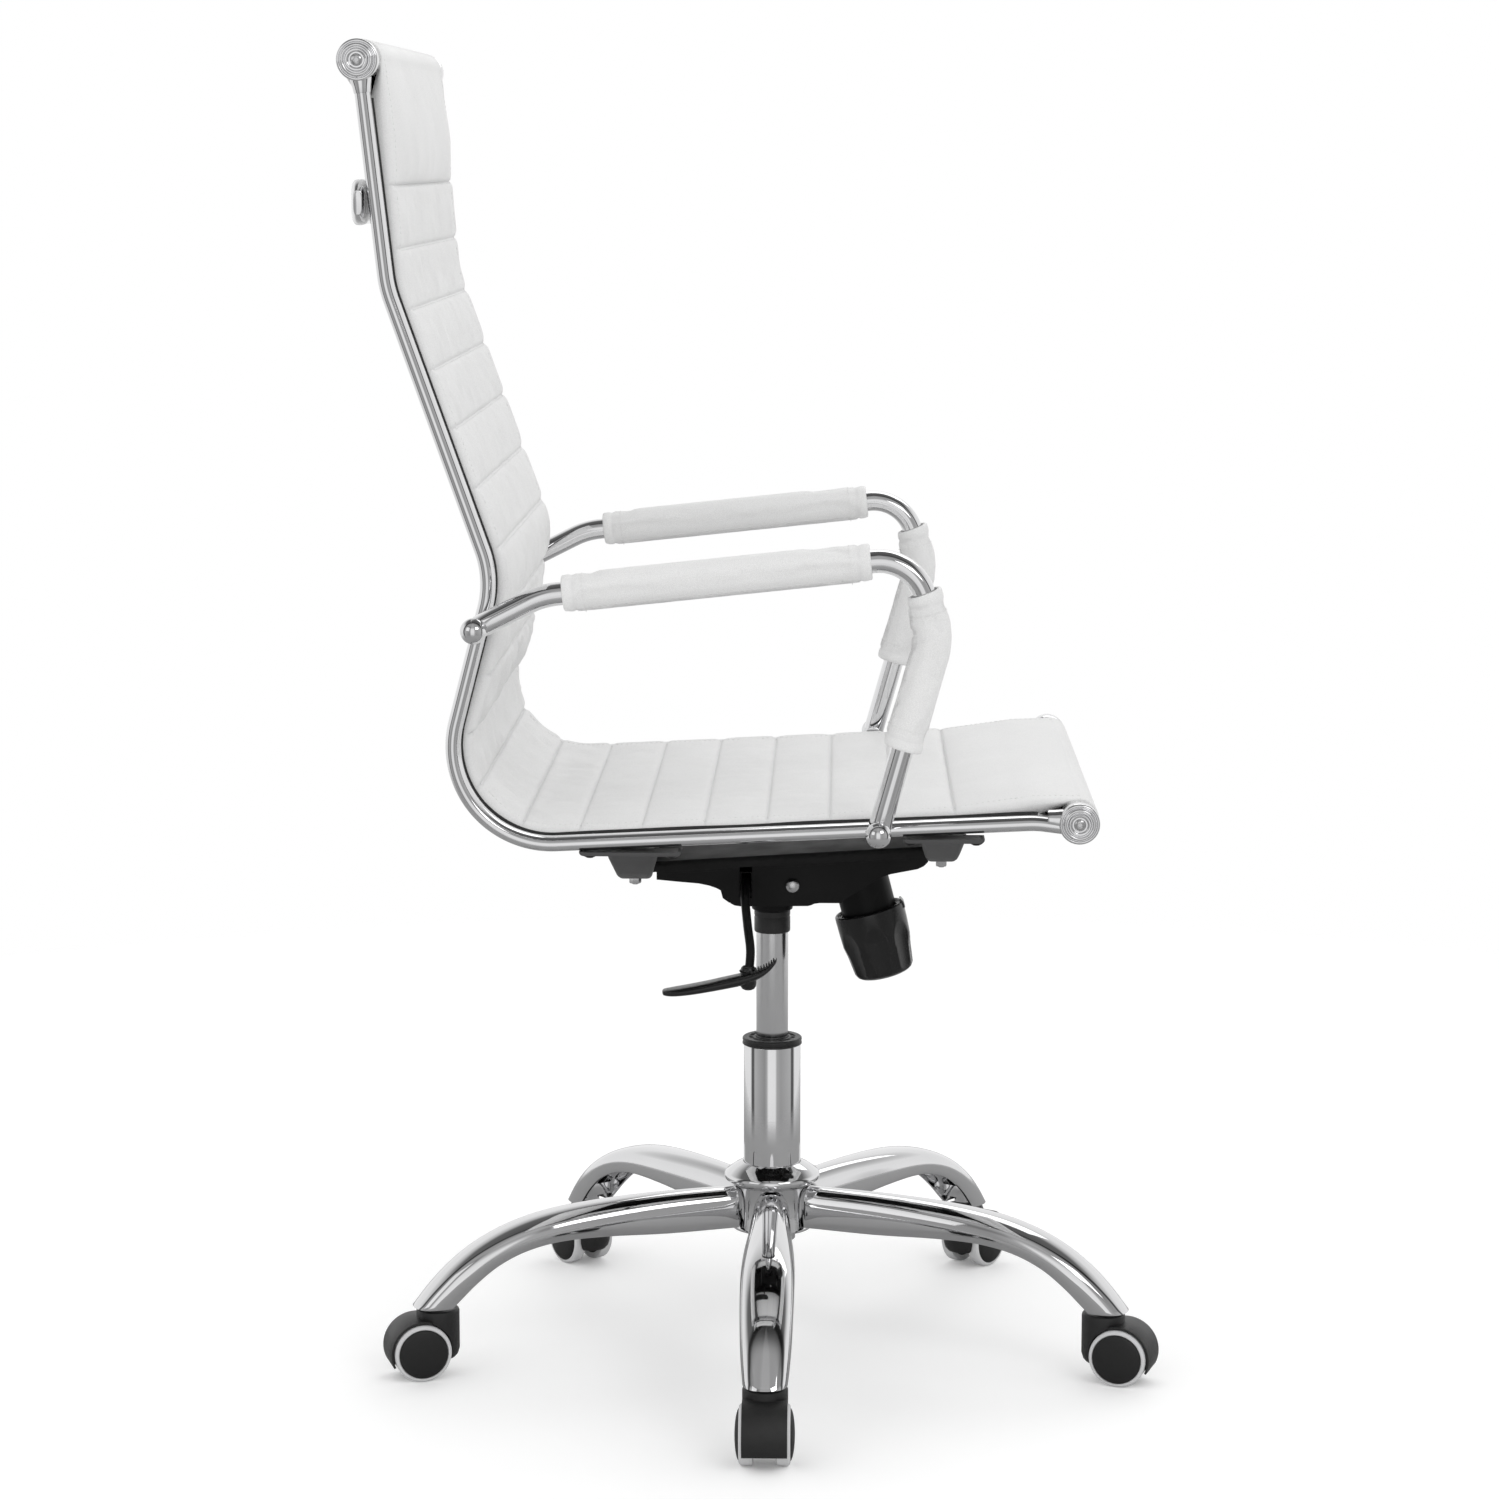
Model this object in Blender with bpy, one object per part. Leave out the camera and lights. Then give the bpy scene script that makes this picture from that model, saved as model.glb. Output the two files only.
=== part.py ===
"""High-back swivel office chair with a ribbed leather sling on two side frames.

Units are metres. +Z is up, the chair faces -Y, and its right-hand side (with the gas lever)
is -X. The gas column stands on the line X = COLUMN_X, Y = 0, so that the origin is the middle
of the footprint. Everything hangs from empties that stand on the joints' axes.
"""

import math

import bmesh
import bpy
from mathutils import Matrix, Vector

GAP = 0.0003  # clearance between pieces that touch
COLUMN_X = 0.0270  # column axis, seen from the middle of the footprint

# Star base and column
LEG_COUNT = 5
STEM_CIRCLE = 0.303
HUB_TOP, HUB_BOTTOM = 0.1680, 0.1087
HUB_RADIUS, HUB_COLLAR_RADIUS = 0.0342, 0.042
LEG_WALL = 0.0026
LEG_TIP_Z = 0.0622
COLUMN_RADIUS, COLUMN_BORE = 0.025, 0.0225
COLUMN_TOP, COLUMN_BOTTOM = 0.274, 0.098
GAS_RADIUS = 0.014
ROD_RADIUS = 0.005

# Casters
WHEEL_RADIUS = 0.025
WHEEL_INNER, WHEEL_OUTER, CAP_OUTER = 0.0094, 0.0202, 0.0245
AXLE_OFFSET = 0.017
AXLE_RADIUS = 0.004
HOOD_TOP = 0.060
HOOD_RADIUS = 0.0187
FENDER_OUTER, FENDER_INNER = 0.028, 0.0262
FENDER_HALF, WEB_HALF = 0.0185, 0.0084
STEM_RADIUS = 0.0055

# Tilt mechanism
PIVOT_Y, PIVOT_Z = -0.0186, 0.429
PIVOT_RADIUS = 0.005
PAN_HALF, BRACKET_HALF, SHEET = 0.070, 0.0640, 0.0025
PAN_TOP_Z, PAN_SLOPE = 0.4602, -0.0612
LEVER_Y, LEVER_Z, LEVER_RADIUS = 0.0215, 0.430, 0.00375
LEVER_PIVOT_X = -0.045
LEVER_PLAY = 0.0016  # free travel before the lever meets the valve pin
KNOB_LEAN = math.radians(14.6)
KNOB_Y, KNOB_Z = -0.0844, 0.3957
SPRING_TUBE_RADIUS = 0.024

# Side frames, rollers and sling
FRAME_X = 0.2415
TUBE_DEPTH, TUBE_WIDTH = 0.0125, 0.022
TOP_AXIS, FRONT_AXIS = (0.3221, 1.1215), (-0.2521, 0.5150)
CAP_RADIUS = 0.0165
ROLLER_RADIUS = 0.0120
SLING_HALF = 0.2290
SLING_THICK, WRAP_THICK = 0.009, 0.0045
# Corners of the frame's centre line as (Y, Z, bend radius), from the headrest to the front edge
FRAME_CORNERS = [
    (0.3221, 1.1215, 0),
    (0.3025, 0.9435, 0.092),
    (0.2207, 0.7115, 0.079),
    (0.2784, 0.4907, 0.079),
    (-0.2176, 0.5144, 0.075),
    (-0.2521, 0.5100, 0),
]

# Arms
ARM_X = 0.2680
ARM_DEPTH, ARM_WIDTH = 0.0185, 0.0280
SLEEVE_WALL = 0.0040
# Corners of the arm's centre line as (Y, Z, bend radius), from the rear ball to the front ball
ARM_CORNERS = [
    (0.2326, 0.6740, 0),
    (0.1790, 0.7010, 0.070),
    (-0.1185, 0.7325, 0.038),
    (-0.1340, 0.6680, 0.060),
    (-0.0897, 0.5109, 0),
]
TOP_SLEEVE = (0.1620, -0.0830)  # Y at the two ends of the sleeve on the armrest
FRONT_SLEEVE = (0.7040, 0.5790)  # Z at the two ends of the sleeve on the upright


# materials and empties
def makeMaterial(name, colour, roughness, metallic):
    material = bpy.data.materials.new(name)
    material.use_nodes = True
    shader = material.node_tree.nodes["Principled BSDF"]
    shader.inputs["Base Color"].default_value = (*colour, 1)
    shader.inputs["Roughness"].default_value = roughness
    shader.inputs["Metallic"].default_value = metallic
    return material


for leftover in list(bpy.data.objects):
    bpy.data.objects.remove(leftover)

FINISHES = {
    "chrome": ((0.80, 0.80, 0.81), 0.07, 1.0),
    "steel": ((0.55, 0.55, 0.56), 0.30, 1.0),
    "black_steel": ((0.012, 0.012, 0.013), 0.35, 0.2),
    "grey_steel": ((0.09, 0.09, 0.095), 0.45, 0.3),
    "black_plastic": ((0.02, 0.02, 0.021), 0.45, 0.0),
    "grey_tread": ((0.62, 0.62, 0.62), 0.55, 0.0),
    "leather": ((0.80, 0.80, 0.80), 0.50, 0.0),
}


def makeEmpty(name, place, parent=None, turn=0.0):
    empty = bpy.data.objects.new(name, None)
    bpy.context.scene.collection.objects.link(empty)
    empty.empty_display_size = 0.03
    empty.location = place
    empty.rotation_euler = (0, 0, turn)
    empty.parent = parent
    return empty


chair = makeEmpty("column_axis", (COLUMN_X, 0, 0))


# mesh helpers
def finishMesh(mesh, name, finish, parent=chair, smooth=True):
    """Object from a bmesh: doubles merged, faces out, its own material."""
    bmesh.ops.remove_doubles(mesh, verts=mesh.verts, dist=1e-6)
    bmesh.ops.dissolve_degenerate(mesh, edges=mesh.edges, dist=1e-6)
    bmesh.ops.recalc_face_normals(mesh, faces=mesh.faces)
    data = bpy.data.meshes.new(name)
    mesh.to_mesh(data)
    mesh.free()
    thing = bpy.data.objects.new(name, data)
    bpy.context.scene.collection.objects.link(thing)
    thing.parent = parent
    if smooth:
        data.shade_smooth()
        data.set_sharp_from_angle(angle=math.radians(35))
    if finish:
        data.materials.append(makeMaterial(name + "_finish", *FINISHES[finish]))
    return thing


def turnedMesh(profile, steps, frame=None):
    """Solid of revolution about Z from a closed (radius, height) outline, moved by frame."""
    mesh = bmesh.new()
    points = [mesh.verts.new((radius, 0, height)) for radius, height in profile]
    pairs = zip(points, points[1:] + points[:1])
    edges = [mesh.edges.new(pair) for pair in pairs if max(pair[0].co.x, pair[1].co.x) > 1e-9]
    bmesh.ops.spin(
        mesh,
        geom=points + edges,
        cent=(0, 0, 0),
        axis=(0, 0, 1),
        angle=math.tau,
        steps=steps,
        use_merge=True,
    )
    if frame:
        mesh.transform(frame)
    return mesh


def extrudedMesh(outline, low, high, frame=None):
    """Prism whose outline is (Y, Z) and which runs along X from low to high."""
    mesh = bmesh.new()
    face = mesh.faces.new([mesh.verts.new((low, y, z)) for y, z in outline])
    grown = bmesh.ops.extrude_face_region(mesh, geom=[face])
    moved = [item for item in grown["geom"] if isinstance(item, bmesh.types.BMVert)]
    bmesh.ops.translate(mesh, verts=moved, vec=(high - low, 0, 0))
    if frame:
        mesh.transform(frame)
    return mesh


def loftedMesh(rings, closed=False):
    """Skin over rings of equal point count. A closed loft joins its last ring to its first."""
    mesh = bmesh.new()
    loops = [[mesh.verts.new(point) for point in ring] for ring in rings]
    following = loops[1:] + loops[:1] if closed else loops[1:]
    for ring, after in zip(loops, following):
        for index in range(len(ring)):
            beside = (index + 1) % len(ring)
            mesh.faces.new((ring[index], ring[beside], after[beside], after[index]))
    if not closed:
        mesh.faces.new(loops[0])
        mesh.faces.new(loops[-1])
    return mesh


def hiddenTool(mesh, name):
    """A helper solid for a Boolean: left out of the model."""
    tool = finishMesh(mesh, name, None, smooth=False)
    tool.hide_render = True
    tool.display_type = "WIRE"
    return tool


def combine(thing, mesh, operation):
    """Cuts or joins a mesh with a Boolean modifier, and keeps the result as plain faces."""
    tool = hiddenTool(mesh, thing.name + "_tool")
    tool.parent = thing.parent
    modifier = thing.modifiers.new("cut", "BOOLEAN")
    modifier.operation = operation
    modifier.object = tool
    bpy.context.view_layer.update()
    evaluated = thing.evaluated_get(bpy.context.evaluated_depsgraph_get())
    result = bpy.data.meshes.new_from_object(evaluated)
    thing.modifiers.clear()
    before = thing.data
    thing.data = result
    bpy.data.meshes.remove(before)
    bpy.data.objects.remove(tool)
    mended = bmesh.new()
    mended.from_mesh(result)
    bmesh.ops.remove_doubles(mended, verts=mended.verts, dist=1e-5)
    bmesh.ops.dissolve_degenerate(mended, edges=mended.edges, dist=1e-5)
    mended.to_mesh(result)
    mended.free()
    return thing


def alongX(x=0.0, y=0.0, z=0.0):
    """Frame that lays a turned solid's axis along +X through (x, y, z)."""
    return Matrix.Translation((x, y, z)) @ Matrix.Rotation(math.pi / 2, 4, "Y")


def ring(inner, outer, low, high):
    """Outline of a plain ring for turnedMesh."""
    return [(inner, low), (outer, low), (outer, high), (inner, high)]


def rod(radius, low, high):
    """Outline of a plain rod for turnedMesh."""
    return [(0, low), (radius, low), (radius, high), (0, high)]


def filletPath(corners, stepAngle):
    """(Y, Z) points through corners given as (Y, Z, radius), each corner rounded by an arc."""
    points = [Vector(corners[0][:2])]
    for before, corner, after in zip(corners, corners[1:], corners[2:]):
        here = Vector(corner[:2])
        back = (Vector(before[:2]) - here).normalized()
        ahead = (Vector(after[:2]) - here).normalized()
        half = back.angle(ahead) / 2
        centre = here + (back + ahead).normalized() * corner[2] / math.sin(half)
        first = here + back * corner[2] / math.tan(half) - centre
        last = here + ahead * corner[2] / math.tan(half) - centre
        turn = math.atan2(first.x * last.y - first.y * last.x, first.dot(last))
        steps = max(2, math.ceil(abs(turn) / stepAngle))
        for step in range(steps + 1):
            points.append(centre + Matrix.Rotation(turn * step / steps, 2) @ first)
    points.append(Vector(corners[-1][:2]))
    return points


def pathNormals(points):
    """Unit normals of a (Y, Z) path, 90 degrees left of its direction."""
    normals = []
    for index in range(len(points)):
        ahead = points[min(index + 1, len(points) - 1)]
        behind = points[max(index - 1, 0)]
        along = (ahead - behind).normalized()
        normals.append(Vector((-along.y, along.x)))
    return normals


def clippedPath(points, start, end):
    """The stretch of a path between two distances from its first point."""
    lengths = [0.0]
    for before, here in zip(points, points[1:]):
        lengths.append(lengths[-1] + (here - before).length)

    def at(distance):
        for index in range(1, len(points)):
            if lengths[index] >= distance:
                part = (distance - lengths[index - 1]) / (lengths[index] - lengths[index - 1])
                return points[index - 1].lerp(points[index], part)
        return points[-1]

    kept = [at(start)]
    kept += [p for p, s in zip(points, lengths) if start + 0.002 < s < end - 0.002]
    return kept + [at(end)], lengths[-1]


def oval(count, depth, width, power=2.4):
    """Rounded section: (in-plane, lateral) points of a superellipse."""
    points = []
    for index in range(count):
        angle = math.tau * (index + 0.5) / count
        c, s = math.cos(angle), math.sin(angle)
        points.append(
            (
                math.copysign(abs(c) ** (2 / power), c) * depth / 2,
                math.copysign(abs(s) ** (2 / power), s) * width / 2,
            )
        )
    return points


def sweptRings(path, x, section):
    """Rings of a section carried along a (Y, Z) path in the plane X = x."""
    rings = []
    for point, normal in zip(path, pathNormals(path)):
        rings.append(
            [
                (x + lateral, point.x + normal.x * depth, point.y + normal.y * depth)
                for depth, lateral in section
            ]
        )
    return rings


# star base
def buildHub():
    outline = [
        (COLUMN_RADIUS + GAP, HUB_TOP),
        (0.0270, HUB_TOP),
        (HUB_COLLAR_RADIUS, 0.1575),
        (HUB_COLLAR_RADIUS, 0.1530),
        (0.0370, 0.1500),
        (HUB_RADIUS, 0.1485),
        (HUB_RADIUS, 0.1125),
        (0.0352, HUB_BOTTOM),
        (0.0243, HUB_BOTTOM),
    ]
    finishMesh(turnedMesh(outline, 20), "base_hub", "chrome")


# Leg stations: crown (radius, height), underside (radius, height), width
LEG_STATIONS = [
    (0.0348, 0.1475, 0.0348, 0.1135, 0.0330),
    (0.1000, 0.1468, 0.1000, 0.1137, 0.0370),
    (0.1600, 0.1435, 0.1550, 0.1162, 0.0428),
    (0.2050, 0.1375, 0.1960, 0.1155, 0.0450),
    (0.2400, 0.1275, 0.2270, 0.1095, 0.0450),
    (0.2690, 0.1135, 0.2520, 0.0985, 0.0440),
    (0.2920, 0.0970, 0.2715, 0.0840, 0.0425),
    (0.3095, 0.0800, 0.2850, 0.0710, 0.0400),
    (0.3245, LEG_TIP_Z, 0.2935, LEG_TIP_Z, 0.0370),
]
# Half of the leg's arched section, as (share of half width, share of height)
LEG_ARCH = [(0.92, 0.0), (1.0, 0.40), (0.90, 0.80), (0.45, 0.985)]


def legRings(hollow):
    rings = []
    for topR, topZ, lowR, lowZ, width in LEG_STATIONS:
        low, top = Vector((lowR, lowZ)), Vector((topR, topZ))
        height = (top - low).length
        half = width / 2
        outer = [(half * u, height * v) for u, v in LEG_ARCH]
        outline = outer + [(-u, v) for u, v in reversed(outer)]
        if hollow:
            inner = [((half - LEG_WALL) * u, (height - LEG_WALL) * v) for u, v in LEG_ARCH]
            outline += [(-u, v) for u, v in inner] + inner[::-1]
        up = (top - low).normalized()
        rings.append([(low.x + up.x * v, u, low.y + up.y * v) for u, v in outline])
    return rings


def buildLeg(number, axis):
    leg = finishMesh(loftedMesh(legRings(True)), f"base_leg_{number}", "chrome", axis)
    socket = hiddenTool(
        turnedMesh(rod(0.0088, LEG_TIP_Z, 0.100), 12, Matrix.Translation((STEM_CIRCLE, 0, 0))), "socket"
    )
    socket.parent = axis
    combine(socket, loftedMesh(legRings(False)), "INTERSECT")
    plug = bmesh.new()
    plug.from_mesh(socket.data)
    bpy.data.objects.remove(socket)
    combine(leg, plug, "UNION")
    bore = turnedMesh(rod(STEM_RADIUS + GAP, 0.055, 0.0755), 10, Matrix.Translation((STEM_CIRCLE, 0, 0)))
    return combine(leg, bore, "DIFFERENCE")


# casters
def acrossAxle():
    """Frame that lays a turned solid's axis along the axle, which is local Y."""
    return Matrix.Translation((AXLE_OFFSET, 0, WHEEL_RADIUS)) @ Matrix.Rotation(-math.pi / 2, 4, "X")


def sectorOutline(inner, outer, start, end, steps):
    """Ring sector about the axle as (local X, Z) points."""
    outline = []
    for radius, order in ((outer, range(steps + 1)), (inner, range(steps, -1, -1))):
        for step in order:
            angle = math.radians(start + (end - start) * step / steps)
            outline.append((AXLE_OFFSET + radius * math.cos(angle), WHEEL_RADIUS + radius * math.sin(angle)))
    return outline


def prismAcross(outline, half):
    """Prism with an (X, Z) outline, between Y = -half and Y = half."""
    mesh = bmesh.new()
    face = mesh.faces.new([mesh.verts.new((x, -half, z)) for x, z in outline])
    grown = bmesh.ops.extrude_face_region(mesh, geom=[face])
    moved = [item for item in grown["geom"] if isinstance(item, bmesh.types.BMVert)]
    bmesh.ops.translate(mesh, verts=moved, vec=(0, 2 * half, 0))
    bmesh.ops.recalc_face_normals(mesh, faces=mesh.faces)
    return mesh


def buildHood(number, swivel):
    barrel = [
        (0, 0.0165),
        (0.0150, 0.0165),
        (HOOD_RADIUS, 0.024),
        (HOOD_RADIUS, 0.0585),
        (0.0172, HOOD_TOP),
        (0, HOOD_TOP),
    ]
    hood = finishMesh(turnedMesh(barrel, 14), f"caster_hood_{number}", "black_plastic", swivel)
    for side in (-1, 1):
        well = turnedMesh(rod(FENDER_INNER, 0.0088, 0.030), 16, acrossAxle())
        if side < 0:
            well.transform(Matrix.Rotation(math.pi, 4, "Z"))
            well.transform(Matrix.Translation((2 * AXLE_OFFSET, 0, 0)))
            bmesh.ops.recalc_face_normals(well, faces=well.faces)
        combine(hood, well, "DIFFERENCE")
    fender = sectorOutline(FENDER_INNER, FENDER_OUTER, -24, 106, 6)
    combine(hood, prismAcross(fender, FENDER_HALF), "UNION")
    web = sectorOutline(0.0, FENDER_INNER + 2 * GAP, -24, 190, 10)[:11]
    web.append((AXLE_OFFSET, WHEEL_RADIUS - 0.006))
    combine(hood, prismAcross(web, WEB_HALF), "UNION")
    combine(hood, turnedMesh(rod(AXLE_RADIUS, -0.0205, 0.0205), 8, acrossAxle()), "UNION")
    return combine(hood, turnedMesh(rod(STEM_RADIUS + GAP, 0.038, 0.070), 10), "DIFFERENCE")


def buildWheel(number, side, spin):
    outline = [
        (AXLE_RADIUS + GAP, WHEEL_INNER),
        (WHEEL_RADIUS, WHEEL_INNER),
        (WHEEL_RADIUS, WHEEL_OUTER - 0.001),
        (0.0222, WHEEL_OUTER + 0.0002),
        (0.0170, 0.0232),
        (0, CAP_OUTER),
        (0, 0.0220),
        (AXLE_RADIUS + GAP, 0.0220),
    ]
    turn = -math.pi / 2 if side == "a" else math.pi / 2
    mesh = turnedMesh(outline, 16, Matrix.Rotation(turn, 4, "X"))
    finishMesh(mesh, f"caster_wheel_{number}{side}", "grey_tread", spin)


def buildCaster(number, axis):
    stem = [
        (0, 0.0383),
        (0.0045, 0.0383),
        (STEM_RADIUS, 0.0395),
        (STEM_RADIUS, 0.0735),
        (0.0045, 0.0750),
        (0, 0.0750),
    ]
    swivel = makeEmpty(f"caster_swivel_{number}_axis", (STEM_CIRCLE, 0, 0), axis)
    finishMesh(turnedMesh(stem, 10), f"caster_stem_{number}", "steel", swivel)
    buildHood(number, swivel)
    for side in "ab":
        spin = makeEmpty(f"wheel_spin_{number}{side}_axis", (AXLE_OFFSET, 0, WHEEL_RADIUS), swivel)
        buildWheel(number, side, spin)


# column and gas spring
def buildColumn():
    outline = [
        (COLUMN_BORE, COLUMN_TOP),
        (COLUMN_RADIUS, COLUMN_TOP),
        (COLUMN_RADIUS, HUB_TOP),
        (0.0240, HUB_BOTTOM),
        (0.0206, 0.1045),
        (0.0206, COLUMN_BOTTOM),
        (ROD_RADIUS + GAP, COLUMN_BOTTOM),
        (ROD_RADIUS + GAP, 0.1010),
        (0.0180, 0.1010),
        (0.0180, 0.1100),
        (COLUMN_BORE, 0.1200),
    ]
    finishMesh(turnedMesh(outline, 20), "column_tube", "chrome")
    bush = [
        (GAS_RADIUS + GAP, 0.2150),
        (COLUMN_BORE - GAP, 0.2150),
        (COLUMN_BORE - GAP, COLUMN_TOP + GAP),
        (0.0262, COLUMN_TOP + GAP),
        (0.0262, 0.2795),
        (0.0254, 0.2805),
        (GAS_RADIUS + GAP, 0.2805),
    ]
    finishMesh(turnedMesh(bush, 20), "guide_bush", "black_plastic")
    bearing = ring(ROD_RADIUS + GAP, 0.0140, 0.1010 + GAP, 0.1080)
    finishMesh(turnedMesh(bearing, 14), "thrust_bearing", "steel")
    piston = [
        (0, 0.0965),
        (ROD_RADIUS, 0.0965),
        (ROD_RADIUS, 0.1080 + GAP),
        (0.0078, 0.1080 + GAP),
        (0.0078, 0.1115),
        (ROD_RADIUS, 0.1115),
        (ROD_RADIUS, 0.2135),
        (0.0115, 0.2135),
        (0.0115, 0.2220),
        (0, 0.2220),
    ]
    finishMesh(turnedMesh(piston, 12), "piston_rod", "steel")
    cylinder = [
        (ROD_RADIUS + GAP, 0.2080),
        (GAS_RADIUS - 0.001, 0.2080),
        (GAS_RADIUS, 0.2095),
        (GAS_RADIUS, 0.4180),
        (0.0045, 0.4180),
        (0.0045, 0.3950),
        (0.0120, 0.3950),
        (0.0120, 0.2125),
        (ROD_RADIUS + GAP, 0.2125),
    ]
    finishMesh(turnedMesh(cylinder, 18), "gas_cylinder", "steel")
    pin = rod(0.0040, 0.4000, LEVER_Z - LEVER_RADIUS - LEVER_PLAY)
    finishMesh(turnedMesh(pin, 10), "release_pin", "steel")
    collar = [
        (GAS_RADIUS + GAP, 0.3750),
        (0.0150, 0.3750),
        (0.0158, 0.3762),
        (0.0158, 0.3947),
        (GAS_RADIUS + GAP, 0.3947),
    ]
    finishMesh(turnedMesh(collar, 18), "taper_collar", "black_plastic")


# tilt mechanism
def panTop(y):
    """Height of the tilt pan's upper face at y."""
    return PAN_TOP_Z + PAN_SLOPE * y


PAN_SIDE = [
    (0.098, 0.4335),
    (0.062, 0.4305),
    (0.0465, 0.4265),
    (0.0385, 0.4215),
    (0.0350, 0.4140),
    (0.0260, 0.4105),
    (-0.0316, 0.4110),
    (-0.0373, 0.4133),
    (-0.0570, 0.4140),
    (-0.0960, 0.4370),
    (-0.1256, 0.4436),
    (-0.1346, 0.4500),
]


def buildPan():
    profile = [(0.098, panTop(0.098))] + PAN_SIDE + [(-0.1346, panTop(-0.1346))]
    pan = finishMesh(extrudedMesh(profile[::-1], -PAN_HALF, PAN_HALF), "tilt_pan", "black_steel")
    under = [(y, panTop(y) - SHEET) for y in (0.150, -0.180)] + [(-0.180, 0.380), (0.150, 0.380)]
    inner = PAN_HALF - SHEET
    combine(pan, extrudedMesh(under, -inner, inner), "DIFFERENCE")
    back, front = 0.120, -0.152
    flange = [
        (back, panTop(back)),
        (back, panTop(back) - SHEET),
        (front, panTop(front) - SHEET),
        (front, panTop(front)),
    ]
    combine(pan, extrudedMesh(flange, -0.100, 0.100), "UNION")
    pivotBore = rod(PIVOT_RADIUS + GAP, -0.09, 0.09)
    combine(pan, turnedMesh(pivotBore, 12, alongX(0, PIVOT_Y, PIVOT_Z)), "DIFFERENCE")
    slot = leverWindow(0.4178, 0.4458)
    return combine(pan, extrudedMesh(slot, -0.080, -0.060), "DIFFERENCE")


def leverWindow(low, high):
    """Outline of the window that the lever passes through."""
    half = 0.0054
    return [
        (LEVER_Y - half, low),
        (LEVER_Y + half, low),
        (LEVER_Y + half, high),
        (LEVER_Y - half, high),
    ]


def knobFrame(drop=0.0):
    """Frame on the tension knob's leaning axis, drop metres below the knob's rim. Its +Z points up the axis."""
    lean = Matrix.Rotation(-KNOB_LEAN, 4, "X")
    place = Matrix.Translation((0, KNOB_Y, KNOB_Z))
    return place @ lean @ Matrix.Translation((0, 0, -drop))


def buildBracket():
    side = [
        (0.045, 0.4385),
        (0.045, 0.4300),
        (0.036, 0.4125),
        (-0.0600, 0.4125),
        (-0.0760, 0.4350),
        (-0.0920, 0.4400),
        (-0.0920, 0.4560),
        (-0.030, 0.4530),
    ]
    bracket = finishMesh(extrudedMesh(side[::-1], -BRACKET_HALF, BRACKET_HALF), "lower_bracket", "black_steel")
    hollow = [
        (0.0425, 0.470),
        (0.0425, 0.4310),
        (0.0345, 0.4150),
        (-0.0580, 0.4150),
        (-0.0740, 0.4375),
        (-0.0895, 0.4422),
        (-0.0895, 0.470),
    ]
    inner = BRACKET_HALF - SHEET
    combine(bracket, extrudedMesh(hollow[::-1], -inner, inner), "DIFFERENCE")
    combine(bracket, turnedMesh(rod(SPRING_TUBE_RADIUS, -0.0100, 0.0480), 16, knobFrame()), "UNION")
    combine(bracket, turnedMesh(rod(SPRING_TUBE_RADIUS - 0.002, -0.020, 0.0440), 16, knobFrame()), "DIFFERENCE")
    combine(bracket, turnedMesh(rod(0.0058, 0.040, 0.060), 10, knobFrame()), "DIFFERENCE")
    socket = [
        (0, 0.3950),
        (0.0178, 0.3950),
        (0.0185, 0.3990),
        (0.0205, 0.4130),
        (0.0190, 0.4170),
        (0, 0.4170),
    ]
    combine(bracket, turnedMesh(socket, 18), "UNION")
    combine(bracket, turnedMesh(rod(GAS_RADIUS + GAP, 0.380, 0.430), 18), "DIFFERENCE")
    pivotBore = rod(PIVOT_RADIUS + GAP, -0.09, 0.09)
    combine(bracket, turnedMesh(pivotBore, 12, alongX(0, PIVOT_Y, PIVOT_Z)), "DIFFERENCE")
    notch = leverWindow(0.4220, 0.4600)
    return combine(bracket, extrudedMesh(notch[::-1], -0.075, -0.055), "DIFFERENCE")


def buildPivotPin():
    reach = PAN_HALF + GAP
    outline = [
        (0, -reach - 0.0040),
        (0.0045, -reach - 0.0040),
        (0.0064, -reach - 0.0025),
        (0.0064, -reach),
        (PIVOT_RADIUS, -reach),
        (PIVOT_RADIUS, reach),
        (0.0064, reach),
        (0.0064, reach + 0.0025),
        (0.0045, reach + 0.0040),
        (0, reach + 0.0040),
    ]
    finishMesh(turnedMesh(outline, 14, alongX(0, PIVOT_Y, PIVOT_Z)), "tilt_pivot_pin", "steel")


def buildSpring():
    """Compression spring that holds the seat forward, coiled round the knob's threaded rod."""
    turns, wire, radius, low, high = 4.0, 0.0018, 0.0150, 0.0035, 0.0405
    steps = int(turns * 9)
    rings = []
    for step in range(steps + 1):
        angle = math.tau * turns * step / steps
        centre = Vector((radius * math.cos(angle), radius * math.sin(angle), low + (high - low) * step / steps))
        outward = Vector((math.cos(angle), math.sin(angle), 0))
        rings.append(
            [
                centre + outward * wire * math.cos(turn) + Vector((0, 0, wire * math.sin(turn)))
                for turn in (math.tau * k / 5 for k in range(5))
            ]
        )
    mesh = loftedMesh(rings)
    mesh.transform(knobFrame())
    finishMesh(mesh, "tension_spring", "steel")


def buildKnob():
    """Hand wheel that preloads the spring: a cup round the tube's end, with its threaded rod."""
    axis = makeEmpty("tension_knob_axis", (0, KNOB_Y, KNOB_Z), chair)
    axis.rotation_euler = (-KNOB_LEAN, 0, 0)
    cup = [
        (0, -0.0610),
        (0.0180, -0.0610),
        (0.0245, -0.0570),
        (0.0300, -0.0330),
        (0.0308, 0.0),
        (0.0283, 0.0),
        (SPRING_TUBE_RADIUS + 0.0008, -0.0020),
        (SPRING_TUBE_RADIUS + 0.0008, -0.0105),
        (0.0050, -0.0105),
        (0.0050, 0.0530),
        (0, 0.0530),
    ]
    finishMesh(turnedMesh(cup, 18), "tension_knob", "black_plastic", axis)


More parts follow.
